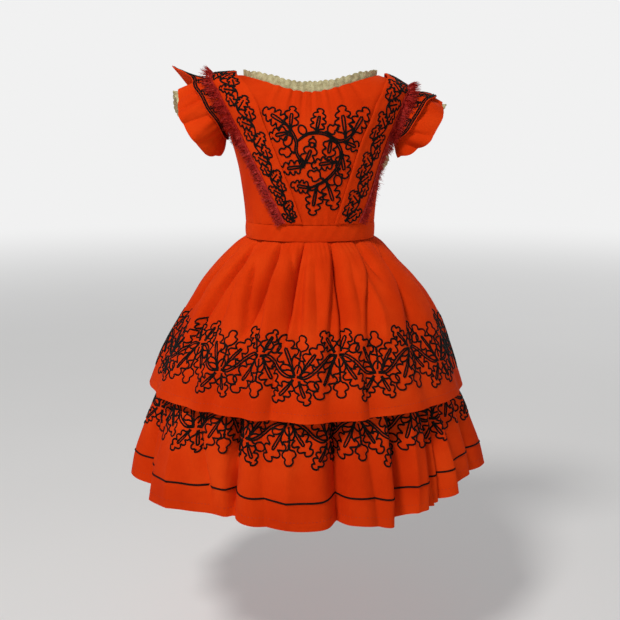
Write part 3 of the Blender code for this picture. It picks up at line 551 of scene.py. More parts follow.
def add_node(tree, kind, inputs, **settings):
    """A new shader node with these settings. Each input takes a value or another node's output."""
    node = tree.nodes.new("ShaderNode" + kind)
    for key, value in settings.items():
        setattr(node, key, value)
    for key, value in inputs.items():
        if isinstance(value, bpy.types.NodeSocket):
            tree.links.new(value, node.inputs[key])
        else:
            node.inputs[key].default_value = value
    return node


def new_material(name, values):
    """A material, its node tree, its shader with these values, and the place in the object's own metres."""
    material = bpy.data.materials.new(name)
    material.use_nodes = True
    tree = material.node_tree
    shader = tree.nodes["Principled BSDF"]
    for key, value in values.items():
        shader.inputs[key].default_value = value
    return material, tree, shader, add_node(tree, "TexCoord", {}).outputs["Object"]


def add_noise(tree, place, scale, detail=3.0, roughness=0.55):
    inputs = {"Vector": place, "Scale": scale, "Detail": detail, "Roughness": roughness}
    return add_node(tree, "TexNoise", inputs).outputs["Fac"]


def add_colour(tree, shader, factor, stops):
    """Colours the shader by a ramp, whose stops are positions and colours."""
    ramp_node = add_node(tree, "ValToRGB", {"Fac": factor})
    elements = ramp_node.color_ramp.elements
    elements[0].position, elements[0].color = stops[0][0], (*stops[0][1], 1)
    elements[1].position, elements[1].color = stops[-1][0], (*stops[-1][1], 1)
    for position, colour in stops[1:-1]:
        elements.new(position).color = (*colour, 1)
    tree.links.new(ramp_node.outputs["Color"], shader.inputs["Base Color"])


def add_weave(tree, pitch):
    """Height of a plain weave, from the cloth's own metres."""
    uv = add_node(tree, "UVMap", {}, uv_map="cloth").outputs["UV"]
    inputs = {"Vector": uv, "Scale": 2 * math.pi / 20 / pitch, "Distortion": 0.6, "Detail": 1.0}
    across, along = (add_node(tree, "TexWave", inputs, bands_direction=axis).outputs["Fac"] for axis in "XY")
    return add_node(tree, "Math", {0: across, 1: along}, operation="MULTIPLY").outputs["Value"]


def add_sum(tree, first, second, share):
    """first plus share of second."""
    return add_node(tree, "Math", {0: second, 1: share, 2: first}, operation="MULTIPLY_ADD").outputs["Value"]


def add_bump(tree, shader, height, strength, distance):
    bump = add_node(tree, "Bump", {"Height": height, "Strength": strength, "Distance": distance})
    tree.links.new(bump.outputs["Normal"], shader.inputs["Normal"])


def add_fade(tree, value, limits, low, high):
    """A smooth change from low to high as value goes from the first limit to the second."""
    inputs = {"Value": value, "From Min": limits[0], "From Max": limits[1], "To Min": low, "To Max": high}
    return add_node(tree, "MapRange", inputs, interpolation_type="SMOOTHSTEP").outputs["Result"]


def make_wool():
    material, tree, shader, place = new_material("red_wool_cloth", {
        "Roughness": 0.92, "Specular IOR Level": 0.04, "Sheen Weight": 0.05, "Sheen Roughness": 0.40,
        "Sheen Tint": (1.0, 0.25, 0.12, 1),
    })
    fuzz = add_noise(tree, place, 900.0, 2.0, 0.7)
    tone = add_sum(tree, add_noise(tree, place, 14.0, 4.0), fuzz, 0.25)
    stops = ((0.30, (0.52, 0.024, 0.0010)), (0.62, (0.63, 0.037, 0.0022)), (0.95, (0.72, 0.056, 0.0048)))
    add_colour(tree, shader, tone, stops)
    add_bump(tree, shader, add_sum(tree, add_weave(tree, 0.0008), fuzz, 0.8), 0.35, 0.0002)
    return material


def make_braid():
    values = {"Roughness": 0.75, "Specular IOR Level": 0.10}
    material, tree, shader, place = new_material("black_silk_braid", values)
    stops = ((0.3, (0.0030, 0.0020, 0.0018)), (0.8, (0.0085, 0.0050, 0.0035)))
    add_colour(tree, shader, add_noise(tree, place, 60.0), stops)
    add_bump(tree, shader, add_noise(tree, place, 1600.0, 1.0), 0.4, 0.0002)
    return material


def make_lace():
    material, tree, shader, place = new_material("cream_lace_net", {"Roughness": 0.9})
    net = add_node(tree, "TexVoronoi", {"Vector": place, "Scale": 760.0}, feature="DISTANCE_TO_EDGE")
    holes = add_sum(tree, add_noise(tree, place, 210.0, 2.0), net.outputs["Distance"], -0.9)
    stops = ((0.16, (0.30, 0.25, 0.12)), (0.34, (0.45, 0.40, 0.21)), (0.60, (0.58, 0.54, 0.31)))
    add_colour(tree, shader, holes, stops)
    add_bump(tree, shader, holes, 0.6, 0.0005)
    return material


def make_fringe():
    values = {"Roughness": 0.6, "Specular IOR Level": 0.15}
    material, tree, shader, place = new_material("crimson_silk_fringe", values)
    tuft = add_noise(tree, place, 260.0)
    stops = ((0.28, (0.16, 0.004, 0.003)), (0.55, (0.38, 0.013, 0.008)), (0.85, (0.58, 0.060, 0.040)))
    add_colour(tree, shader, tuft, stops)
    add_bump(tree, shader, tuft, 0.2, 0.0002)
    return material


def make_thread():
    material, tree, shader, place = new_material("red_wool_thread", {"Roughness": 0.8})
    stops = ((0.3, (0.34, 0.016, 0.002)), (0.8, (0.46, 0.026, 0.003)))
    add_colour(tree, shader, add_noise(tree, place, 300.0, 2.0), stops)
    return material


# Each look is a material and its slot.
WOOL = (make_wool(), "red_wool")
BRAID = (make_braid(), "black_braid")
LACE_NET = (make_lace(), "cream_lace")
SILK = (make_fringe(), "crimson_fringe")
THREAD = (make_thread(), "red_wool")


# Meshes.

def grid_normals(points, inside, closed):
    """Unit normals of a grid of points, pointing away from the point named inside."""
    if closed:
        along = np.roll(points, -1, axis=1) - np.roll(points, 1, axis=1)
    else:
        along = np.gradient(points, axis=1)
    normals = unit(np.cross(along, np.gradient(points, axis=0)))
    return normals * np.sign(np.mean(np.sum(normals * (points - np.asarray(inside)), axis=2)))


def add_object(name, data):
    made = bpy.data.objects.new(name, data)
    bpy.context.scene.collection.objects.link(made)
    return made


def new_mesh(name, points, faces, material):
    mesh = bpy.data.meshes.new(name)
    mesh.from_pydata(np.asarray(points).tolist(), [], faces)
    mesh.materials.append(material)
    return mesh


def add_mesh(name, points, faces, look, corner_uv=None, smooth_angle=60):
    """A piece that moves with the dress. Edges sharper than smooth_angle, in degrees, stay sharp."""
    material, slot = look
    mesh = new_mesh(name, points, faces, material)
    if corner_uv is not None:
        layer = mesh.uv_layers.new(name="cloth")
        layer.uv.foreach_set("vector", np.asarray(corner_uv, np.float32).ravel())
    mesh.shade_smooth()
    mesh.set_sharp_from_angle(angle=math.radians(smooth_angle))
    made = add_object(name, mesh)
    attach(made, BODY)
    return made


def lengths_along(points, axis, closed=False):
    """Distance run along a grid, averaged over the other axis, from 0."""
    if closed:
        points = np.concatenate([points, points[:, :1]], axis=1)
    step = np.linalg.norm(np.diff(points, axis=axis), axis=2).mean(axis=1 - axis)
    return np.concatenate([[0], np.cumsum(step)])


def add_wall(name, middle, normals, thickness, look, closed=False):
    """A closed wall of cloth about a grid of points. Its UVs are metres along the cloth."""
    rows, columns = middle.shape[:2]
    around, along = lengths_along(middle, 1, closed), lengths_along(middle, 0)
    half = normals * thickness / 2
    points = np.concatenate([middle + half, middle - half]).reshape(-1, 3)
    inner = rows * columns
    last = columns if closed else columns - 1
    i, j = (v.ravel() for v in np.mgrid[0 : rows - 1, 0:last])
    a, b = i * columns + j, i * columns + (j + 1) % columns
    outer = np.stack([a, b, b + columns, a + columns], axis=1)
    uv = np.stack([pairs(around[j + k], along[i + m]) for k, m in ((0, 0), (1, 0), (1, 1), (0, 1))], axis=1)
    faces, corner_uv = [outer, inner + outer[:, ::-1]], [uv, uv[:, ::-1]]

    def add_rim(a, b, a_uv, b_uv, inward, order):
        """A row of faces that joins both sides of the wall, from points a to points b."""
        rim = np.stack([a, b, inner + b, inner + a], axis=1)
        rim_uv = np.stack([a_uv, b_uv, b_uv + inward, a_uv + inward], axis=1)
        faces.append(rim[:, ::order])
        corner_uv.append(rim_uv[:, ::order])

    for row, order in ((0, 1), (rows - 1, -1)):
        a = row * columns + np.arange(last)
        b = row * columns + (np.arange(last) + 1) % columns
        add_rim(b, a, pairs(around[1:], along[row]), pairs(around[:-1], along[row]), (0, thickness), order)
    if not closed:
        for column, order in ((0, 1), (columns - 1, -1)):
            a = np.arange(rows - 1) * columns + column
            a_uv, b_uv = pairs(around[column], along[:-1]), pairs(around[column], along[1:])
            add_rim(a, a + columns, a_uv, b_uv, (thickness, 0), order)
    faces, corner_uv = np.concatenate(faces), np.concatenate(corner_uv)
    facing = np.cross(points[outer[:, 1]] - points[outer[:, 0]], points[outer[:, 3]] - points[outer[:, 0]])
    if np.sum(facing * normals.reshape(-1, 3)[outer[:, 0]]) < 0:
        faces, corner_uv = faces[:, ::-1], corner_uv[:, ::-1]
    return add_mesh(name, points, faces.tolist(), look, corner_uv)


def add_cloth(node, middle, inside, thickness, closed=False, normals=None):
    """A piece of wool or lace that stands for a CAD node. Its flat size is that of its middle."""
    if "_lace" in node:
        name, look = "lace_" + node.replace("_lace", ""), LACE_NET
    else:
        name, look = "wool_" + node, WOOL
    if normals is None:
        normals = grid_normals(middle, inside, closed)
    piece = add_wall(name, middle, normals, thickness, look, closed)
    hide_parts(node)


def tube_faces(first, count, sides):
    """Faces of a tube of count rings with this many sides, shut at both ends. first is its first point."""
    i, k = (v.ravel() for v in np.mgrid[0 : count - 1, 0:sides])
    a, b = first + i * sides + k, first + i * sides + (k + 1) % sides
    ring = first + np.arange(sides)
    ends = [ring[::-1].tolist(), (ring + (count - 1) * sides).tolist()]
    return np.stack([a, b, b + sides, a + sides], axis=1).tolist() + ends


# Cross-sections of braid and thread: offsets sideways and outward.
BRAID_SECTION = np.array([(-0.50, -0.10), (-0.28, 0.95), (0.28, 0.95), (0.50, -0.10)]) * BRAID_SIZE
THREAD_SECTION = np.array([(-0.5, 0.0), (0.0, 1.0), (0.5, 0.0)]) * STITCH_SIZE


def add_braid(name, lines, surface, inside, lift, steps=BRAID_PROBE, section=BRAID_SECTION, look=BRAID):
    """Braid sewn along flat lines, which surface(a, b) carries to the cloth, lift above its middle."""
    a, b = np.concatenate(lines).T
    middle = surface(a, b)
    normals = surface_normals(surface, a, b, *steps)
    away = (middle - np.asarray(inside)) * [1, 1, 0.3]
    normals *= np.sign(np.sum(normals * away, axis=1).mean())
    middle = middle + normals * lift
    ends = np.cumsum([len(line) for line in lines])[:-1]
    points, faces, first = [], [], 0
    for line, normal in zip(np.split(middle, ends), np.split(normals, ends)):
        across = unit(np.cross(unit(np.gradient(line, axis=0)), normal))
        ring = line[:, None] + across[:, None] * section[:, :1] + normal[:, None] * section[:, 1:]
        points.append(ring.reshape(-1, 3))
        faces += tube_faces(first, len(line), len(section))
        first += ring.shape[0] * ring.shape[1]
    return add_mesh(name, np.concatenate(points), faces, look, smooth_angle=80)


# Braid motifs, drawn flat in metres: generic oak sprays.

def even(line):
    """The same line as points that lie a braid step apart."""
    line = np.asarray(line, float)
    run = run_along(line)
    at = np.linspace(0, run[-1], max(2, int(round(run[-1] / BRAID_STEP)) + 1))
    return np.stack([np.interp(at, run, column) for column in line.T], axis=1)


def smooth(points):
    """A rounded curve through a few points."""
    points = np.asarray(points, float)
    points = np.concatenate([2 * points[:1] - points[1:2], points, 2 * points[-1:] - points[-2:-1]])
    u = np.linspace(0, 1, 9)[:-1, None]
    out = []
    for a, b, c, d in zip(points[:-3], points[1:-2], points[2:-1], points[3:]):
        bend = (2 * a - 5 * b + 4 * c - d) * u**2 + (3 * b - a - 3 * c + d) * u**3
        out.append(0.5 * (2 * b + (c - a) * u + bend))
    return even(np.concatenate([*out, points[-2:-1]]))


def placed(line, base, angle, bend=0.0, length=1.0):
    """A line drawn up from the origin, bent by bend radians over length, turned to angle and put at base."""
    line = np.asarray(line, float)
    if bend:
        turn = bend * line[:, 1] / length
        radius = length / bend
        middle = np.stack([radius * (1 - np.cos(turn)), radius * np.sin(turn)], axis=1)
        line = middle + np.stack([np.cos(turn), -np.sin(turn)], axis=1) * line[:, :1]
    c, s = math.cos(math.radians(angle - 90)), math.sin(math.radians(angle - 90))
    return line @ np.array([[c, s], [-s, c]]) + np.asarray(base, float)


def mirrored(half, tip):
    """An outline up one side, over the tip and down the other side."""
    return half + [(0.0, tip)] + [(-x, y) for x, y in half[::-1]]


# One lobe's shape, as share of the half width and share of the way to the next lobe.
LOBE = ((0.46, 0.00), (0.72, 0.05), (1.00, 0.24), (0.98, 0.58), (0.70, 0.79))
LEAF_FOOT = 0.19


def leaf_outline(length, width, lobes):
    """An oak leaf with rounded lobes, from its foot up one side, round the tip and back."""
    half = [(0.0009, 0.0), (0.0011, LEAF_FOOT * 0.6 * length)]
    step = (0.86 - LEAF_FOOT) / lobes
    for k in range(lobes):
        full = width * math.sin(math.pi * (0.24 + 0.56 * (k + 0.5) / lobes)) ** 0.8
        half += [(full * x, length * (LEAF_FOOT + step * (k + y))) for x, y in LOBE]
    half += [(width * 0.26, 0.855 * length), (width * 0.44, 0.89 * length), (width * 0.46, 0.96 * length)]
    return mirrored(half, 1.02 * length)


def leaf(base, angle, length, bend=0.0, lobes=3, wide=0.30, veins=0, looped=True):
    """A leaf with a midrib, looped or single, and a number of side veins."""
    width, rib = length * wide, length * 0.70
    if looped:
        middle = mirrored([(0.0006, rib * 0.1), (0.0015, rib * 0.5), (0.0015, rib * 0.93)], rib)
    else:
        middle = [(0, rib * 0.15), (0, rib * 0.5), (0, rib)]
    drawn = [leaf_outline(length, width, lobes), middle]
    for k in range(veins):
        side = 1 if k % 2 else -1
        foot = rib * (0.42 + 0.14 * k)
        end = (side * width * 0.62, foot + length * 0.07)
        drawn.append([(side * 0.0012, foot * 0.75), (side * width * 0.25, foot), end])
    return [smooth(placed(line, base, angle, bend, length)) for line in drawn]


def bud(base, angle, length):
    """A three-lobed bud on a short stalk."""
    sides = ((0.255, 0.34), (0.34, 0.56), (0.17, 0.70), (0.2108, 0.84), (0.119, 0.98))
    half = [(0.0008, 0), (0.0008, 0.22 * length)] + [(x * length, y * length) for x, y in sides]
    return [smooth(placed(mirrored(half, length), base, angle))]


def acorn(base, angle, stalk, size):
    turn = np.linspace(-math.pi / 2, 1.5 * math.pi, 30)
    oval = np.stack([0.46 * size * np.cos(turn), stalk + 0.62 * size * (1 + np.sin(turn))], axis=1)
    foot = [(0, 0), (0.0006, stalk * 0.5), (0, stalk)]
    return [even(placed(oval, base, angle)), smooth(placed(foot, base, angle))]


def stem(route, strands, gap):
    """Strands of braid side by side along a route, closer together at its ends."""
    middle = smooth(route)
    along = unit(np.gradient(middle, axis=0))
    side = np.stack([-along[:, 1], along[:, 0]], axis=1)
    ends = np.clip(np.sin(np.linspace(0, math.pi, len(middle))) * 1.6, 0, 1)[:, None]
    return [middle + side * gap * (k - (strands - 1) / 2) * (0.35 + 0.65 * ends) for k in range(strands)]


MM = 0.001

# One hub of the skirt's band, in millimetres about the band's middle: foot of the leaf, direction, length,
# bend, lobes, share of the length for half the width, and veins.
HUB_LEAVES = (
    (-3, -12, 112, 56, -0.15, 3, 0.26, 2), (6, -11, 64, 47, 0.25, 3, 0.26, 2),
    (-4, -17, -120, 36, 0.25, 3, 0.28, 0), (5, -18, -72, 31, -0.20, 2, 0.31, 0),
)
HUB_BUD_STALK = ((1, -9), (3, 3), (3, 15))
# The stem from one hub to the next: share of the way, and height in millimetres.
HUB_STEM = ((0.03, -13), (0.22, -13), (0.42, -5), (0.60, 6), (0.80, 13), (0.98, 13))


def spray(up, scale):
    """One hub's leaves, acorn and bud. up is 1 for a hub that stands and -1 for one that hangs."""
    mm = MM * scale
    lines = acorn((11 * mm, -16 * mm), -32, 6 * mm, 12 * mm) + bud((3 * mm, 14 * mm), 88, 27 * mm)
    lines.append(smooth(np.array(HUB_BUD_STALK) * mm))
    for x, y, angle, length, *shape in HUB_LEAVES:
        lines += leaf((x * mm, y * mm), angle, length * mm, *shape)
    return [line * [1, up] for line in lines]


def band(width, start, scale):
    """A skirt band once round: standing and hanging hubs by turns, and the stems between them."""
    count = 2 * int(round(width / HUB_PITCH / 2))
    unit_width = width / count
    lines = []
    for k in range(count):
        up = 1 if k % 2 == 0 else -1
        route = [(x * unit_width, y * up * MM * scale) for x, y in HUB_STEM]
        hub = spray(up, scale) + stem(route, 2, 0.0034)
        lines += [line + np.array([start + k * unit_width, 0.0]) for line in hub]
    return lines


# The plastron's spray about the middle of its ring, in units of WREATH_SCALE: foot of the leaf, direction,
# length, bend, lobes, share of the length for half the width.
WREATH_LEAVES = (
    (-46, 35, 150, 34, -0.25, 3, 0.31), (-41, 29, 92, 31, 0.10, 2, 0.34), (-42, 27, 200, 27, 0.25, 2, 0.33),
    (-22, -19, 182, 34, -0.20, 3, 0.29), (-23, -17, 60, 32, -0.25, 2, 0.32), (-6, 25, 80, 34, 0.15, 3, 0.32),
    (33, 19, 98, 38, 0.20, 3, 0.30), (41, 22, 57, 33, 0.15, 3, 0.31), (31, 14, -20, 24, 0.20, 2, 0.33),
    (14, 20, -96, 30, 0.10, 2, 0.32), (22, -13, 184, 34, -0.15, 3, 0.27), (28, 2, -83, 37, -0.20, 3, 0.28),
    (-12, -48, 176, 30, 0.20, 3, 0.30), (-4, -45, -104, 41, -0.15, 3, 0.31), (9, -39, -66, 41, 0.10, 3, 0.31),
)
WREATH_BUDS = ((-35, 0, 176, 21), (6, 26, 22, 19), (-10, 22, 262, 15), (5, -36, 158, 24))
WREATH_ACORNS = ((-40, 26, -112, 4, 12), (-19, 22, 128, 3, 11), (22, -28, -72, 3, 12))
WREATH_STEMS = (
    ((-32, 15), (-16, 25), (4, 25), (19, 16), (27, 2), (26, -14), (17, -29), (4, -40), (-14, -48)),
    ((-22, -19), (-33, 0), (-33, 14), (-40, 28), (-48, 37)),
    ((8, 24), (24, 15), (36, 18), (45, 26)),
)
WREATH_SCALE = 0.00093
WREATH_SHIFT = (0.0080, 0.0065)


def wreath():
    """The plastron's spray of leaves, buds and acorns on an open ring of stem."""
    size = WREATH_SCALE
    lines = []
    for route in WREATH_STEMS:
        lines += stem(np.array(route) * size, 2, 0.0026)
    for x, y, angle, length, *shape in WREATH_LEAVES:
        lines += leaf((x * size, y * size), angle, length * size, *shape)
    for x, y, angle, length in WREATH_BUDS:
        lines += bud((x * size, y * size), angle, length * size)
    for x, y, angle, stalk, width in WREATH_ACORNS:
        lines += acorn((x * size, y * size), angle, stalk * size, width * size)
    return [line + np.array(WREATH_SHIFT) for line in lines]


VINE_ENDS = (0.003, 0.012)  # length left bare at the start, and least length for one more pair of leaves
VINE_LEAF = 0.024


def vine(length, width_at):
    """Pairs of leaves to the left and right by turns, on one stem up a shoulder band."""
    lines, middle = [], []
    at, side = VINE_ENDS[0], 1
    while at < length - VINE_ENDS[1]:
        width = width_at(at)
        size = min(0.64 * width, VINE_LEAF)
        foot = (-side * width * 0.14, at)
        middle.append(foot)
        lines += leaf(foot, 90 - side * 60, size, -side * 0.3, 3, 0.34, looped=False)
        second = (foot[0], at + 0.25 * size)
        lines += leaf(second, 90 + side * 14, size * 0.80, side * 0.3, 2, 0.36, looped=False)
        at += size * 1.06
        side = -side
    return lines + stem(middle, 1, 0)


# Pieces.

def make_bodice():
    """One panel in front and two behind, with a seam's gap between them."""
    share = np.linspace(0, 1, 90)[:, None]
    seam = math.degrees(SEAM_GAP / 2 / BODICE_RADIUS)
    edge = armhole_edge(share) - seam
    half = np.linspace(0, 1, 71)[None, :]
    panels = {"front": np.linspace(-1, 1, 161)[None, :] * edge}
    for side, word in WORDS.items():
        panels["back_" + word] = side * (180 - seam - half * (edge - seam))
    for word, angle in panels.items():
        panel = tucked(bodice_cloth(angle, share), *BODICE_TUCK)
        add_cloth("bodice_" + word, panel, BODICE_AXIS, CLOTH)


def make_waistband():
    """One band round the waist, with its ends meeting behind."""
    side, front, back = (size + 0.0004 for size in BODICE_RINGS[0][1:4])
    seam = math.degrees(SEAM_GAP / back)
    angle = np.linspace(-180 + seam, 180 - seam, 260)[None, :]
    down = np.linspace(0, 1, 11)[:, None]
    height = WAISTBAND_TOP + (WAISTBAND_BOTTOM - WAISTBAND_TOP) * down
    bulge = np.sin(np.pi * down)
    bulge = 0.0007 * bulge**0.5 + 0.00025 * np.sin(31 * np.radians(angle) + 5 * down) * bulge
    radius = ring_radius(angle, side, front, back, BODY_ROUNDNESS) + bulge
    ring = round_the_axis(angle, radius, np.broadcast_to(height, radius.shape))
    add_cloth("waistband", ring, (0, 0, -0.2), CLOTH)


def make_placket():
    """The lap over the back opening, and its tail down over the waistband."""
    across, share = matched(
        np.linspace(-1, 1, 17)[None, :] * PLACKET_HALF_ANGLE, np.linspace(0.03, 0.985, 50)[:, None]
    )
    edge = 0.0005 * np.exp(-(((np.abs(across) - PLACKET_HALF_ANGLE * 0.93) / 0.5) ** 2))
    lap = off_bodice(180 + across, share, LAYER_STEP + edge)
    tail = lap[:1].copy()
    tail[..., 2] = WAISTBAND_BOTTOM + 0.0012
    rise = np.linspace(0, 1, 9)[:-1, None, None]
    strip = np.concatenate([tail + (lap[:1] - tail) * rise, lap])
    add_cloth("back_placket", strip, BODICE_AXIS, CLOTH)


def make_bretelle(side):
    way, across = matched(np.linspace(0, 2, 181)[None, :], np.linspace(0, 1, 21)[:, None])
    middle = bretelle_cloth(way, across, side)
    normals = bodice_normals(*bretelle_place(way, across, side))
    node = "bretelle_" + WORDS[side]
    add_cloth(node, middle, None, CLOTH, normals=normals)


def make_sleeve(side):
    """The flounce, the cap over it and the lace inside it."""
    word = WORDS[side]
    inside = sided(SLEEVE_INSIDE, side)
    around = np.arange(0, 360, 1.5)[None, :]
    lower = sleeve_cloth(around, np.linspace(0, 1, 26)[:, None], side)
    upper = cap_cloth(around, np.linspace(0, 1, 18)[:, None], side)

    around = np.arange(0, 360, 1.2)[None, :]
    past, out, up = ring_spline(SLEEVE_LACE[word], around)
    down = np.linspace(0, 1, 10)[:, None]
    scallop = 0.030 * np.abs(np.sin(np.radians(around) * SLEEVE_LACE_SCALLOPS / 2)) * down
    frill = sleeve_points(around, SLEEVE_LACE_TOP + (1 - SLEEVE_LACE_TOP + past) * down + scallop, side)
    ripple = 0.0008 * np.sin(np.radians(around) * SLEEVE_LACE_SCALLOPS) * down
    frill = frill - grid_normals(frill, inside, True) * (SLEEVE_LACE_INSET + ripple)[..., None]
    frill[..., 0] += side * out * down**3
    frill[..., 2] += up * down**3

    add_cloth("sleeve_lower_" + word, lower, inside, THIN_CLOTH, True)
    add_cloth("sleeve_upper_" + word, upper, inside, THIN_CLOTH, True)
    add_cloth("sleeve_lace_" + word, frill, inside, LACE_WALL, True)


def make_underarm_lace():
    angle = np.linspace(UNDERARM_LACE[0][0], UNDERARM_LACE[-1][0], 61)[None, :]
    down = np.linspace(0, 1, 16)[:, None]
    edge, stand = spline(UNDERARM_LACE, angle)
    scallop = 0.016 * np.abs(np.sin(np.radians(angle * 22))) * down**3
    share = UNDERARM_LACE_TOP + (edge - UNDERARM_LACE_TOP) * down - scallop
    ripple = 0.0006 * np.sin(np.radians(angle * 40)) * down
    strip = off_bodice(angle + 0 * down, share, CLOTH / 2 + LACE / 2 + SEAM_GAP + stand * down**2 + ripple)
    add_cloth("underarm_lace", strip, BODICE_AXIS, LACE_WALL)


def make_skirt():
    column = np.linspace(0, len(UPPER_FOLDS), 601)[None, :-1]
    upper = tucked(tier_cloth(UPPER, column, np.linspace(0, 1, 44)[:, None] ** 1.1), *SKIRT_TUCK)
    lower = tier_cloth(LOWER, column, np.linspace(0, 1, 42)[:, None] ** 0.85)
    add_cloth("skirt_upper", upper, SKIRT_AXIS, CLOTH, True)
    add_cloth("skirt_lower", lower, SKIRT_AXIS, THIN_CLOTH, True)


def hem_rise(tier, share):
    """Distance up from the hem along a tier's side, for shares that fall from 1."""
    return run_along(spline(tier[0], share)[:2].T)


def tier_chart(tier, reference):
    """A function from flat metres, round a tier and up from its hem, to its cloth, and the way once round."""
    folds = len(tier[1])
    column = np.linspace(0, folds, 3000)
    run = run_along(tier_cloth(tier, column, reference))
    share = np.linspace(1, 0, 400)
    rise = hem_rise(tier, share)
    width = float(run[-1])

    def carry(u, v):
        turns = np.floor(u / width)
        at = np.interp(u - turns * width, run, column) + turns * folds
        return tier_cloth(tier, at % folds, np.interp(v, rise, share))

    return carry, width


def make_skirt_braid():
    for word, tier, wall, middle, start, scale, highest in SKIRT_BANDS:
        carry, width = tier_chart(tier, BAND_SHARE)
        lines = [line + np.array([0, middle]) for line in band(width, start, scale)]
        lines = [line for line in lines if line[:, 1].min() < highest]
        add_braid("braid_skirt_" + word, lines, carry, SKIRT_AXIS, wall / 2)


def make_hem_braid():
    carry, width = tier_chart(LOWER, HEM_BRAID_SHARE)
    share = np.linspace(1, 0, 400)
    height = float(np.interp(HEM_BRAID_SHARE, share[::-1], hem_rise(LOWER, share)[::-1]))
    line = pairs(np.linspace(0, width, int(width / BRAID_STEP)), height)
    piece = add_braid("braid_hem", [line], carry, SKIRT_AXIS, THIN_CLOTH / 2)
    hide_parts("hem_braid")


def make_stitches():
    """Rows of running stitches that hold up the two skirt hems."""
    for word, tier, wall, height in STITCH_ROWS:
        carry, width = tier_chart(tier, STITCH_SHARE)
        starts = np.arange(0, width - STITCH, STITCH_PITCH)
        lines = [pairs(start + np.array([0, 0.5, 1]) * STITCH, height) for start in starts]
        name, lift = "stitches_skirt_" + word, wall / 2 - STITCH_SUNK
        add_braid(name, lines, carry, SKIRT_AXIS, lift, section=THREAD_SECTION, look=THREAD)


PLASTRON_CENTRE = (3.6, 0.520)  # angle and share
PLASTRON_RADIUS = 0.0865


def make_plastron_braid():
    share = np.linspace(0, 1, 200)
    rise = run_along(bodice_points(0 * share, share))
    middle = np.interp(PLASTRON_CENTRE[1], share, rise)

    def carry(u, v):
        angle = PLASTRON_CENTRE[0] + np.degrees(u / PLASTRON_RADIUS)
        return bodice_cloth(angle, np.interp(v + middle, rise, share))

    add_braid("braid_plastron", wreath(), carry, BODICE_AXIS, CLOTH / 2)


def make_bretelle_braid(side):
    way = np.linspace(0, 2, 800)
    run = run_along(bretelle_cloth(way, 0.5 + 0 * way, side))
    inner, outer = (bretelle_cloth(way, across + 0 * way, side) for across in (0, 1))
    width = np.linalg.norm(inner - outer, axis=1)

    def carry(u, v):
        across = np.clip(0.48 + u / np.interp(v, run, width), 0.05, 0.94)
        return bretelle_cloth(np.interp(v, run, way), across, side)

    lines = vine(float(run[-1]), lambda v: float(np.interp(v, run, width)))
    add_braid("braid_bretelle_" + WORDS[side], lines, carry, BODICE_AXIS, CLOTH / 2)


# Braid on the caps: heights above the hem of the two lines and of the leaves' feet, and the leaves' spacing.
CAP_LINES = (0.0022, 0.0050)
CAP_LEAF_FOOT = 0.0062
CAP_LEAF_PITCH = 0.027
CAP_LEAF = (0.010, 0.028)  # least and greatest length


def make_cap_braid(side):
    """A double line round the hem of the sleeve's upper tier, with small leaves above it."""
    around = np.linspace(0, 360, 900)
    edge = cap_cloth(around, 0.9 + 0 * around, side)
    run = run_along(edge)
    depth = np.linalg.norm(edge - cap_cloth(around, 0.1 + 0 * around, side), axis=1) / 0.8

    def carry(u, v):
        at = np.interp(u % run[-1], run, around)
        return cap_cloth(at, 1 - v / np.interp(at, around, depth), side)

    lines = [pairs(np.arange(0, run[-1], BRAID_STEP), height) for height in CAP_LINES]
    count = int(run[-1] / CAP_LEAF_PITCH)
    for k in range(count):
        at = (k + 0.5) * run[-1] / count
        room = float(np.interp(np.interp(at, run, around), around, depth))
        size = min(CAP_LEAF[1], room * 1.20 - 0.004)
        if size > CAP_LEAF[0]:
            lines += leaf((at, CAP_LEAF_FOOT), 64, size, 0.9, 2, 0.27, looped=False)
    inside = sided(CAP_INSIDE, side)
    add_braid("braid_cap_" + WORDS[side], lines, carry, inside, THIN_CLOTH / 2, steps=(0.0006, 0.0004))


def make_neck_lace():
    gap = math.degrees(SEAM_GAP / NECK_RADIUS)
    angle, rise = matched(np.linspace(-180 + gap, 180 - gap, 800)[None, :], np.linspace(0, 1, 11)[:, None])
    neck = bodice_points(angle, 1)
    radius = np.linalg.norm(neck[..., :2], axis=2)
    turn = np.radians(angle)
    points_up = np.abs(np.cos(turn * NECK_LACE_SCALLOPS / 2))
    wander = np.sin(7 * turn + 1) + 0.6 * np.sin(19 * turn + 2)
    above = NECK_LACE_ABOVE[1] + (NECK_LACE_ABOVE[0] - NECK_LACE_ABOVE[1]) * np.cos(turn) ** 2
    above = above + 0.0006 * wander + 0.0018 * (points_up - 0.4)
    ripple = 0.0006 * np.sin(turn * 46 + 1.2 * np.sin(3 * turn)) * rise + 0.0005 * wander * rise**2
    frill = neck * ((radius - NECK_LACE_INSET - ripple) / radius)[..., None]
    frill[..., 2] = neck[..., 2] - NECK_LACE_BELOW + (NECK_LACE_BELOW + above) * rise
    add_cloth("neck_lace", frill, (0, 0, -0.02), LACE_WALL)


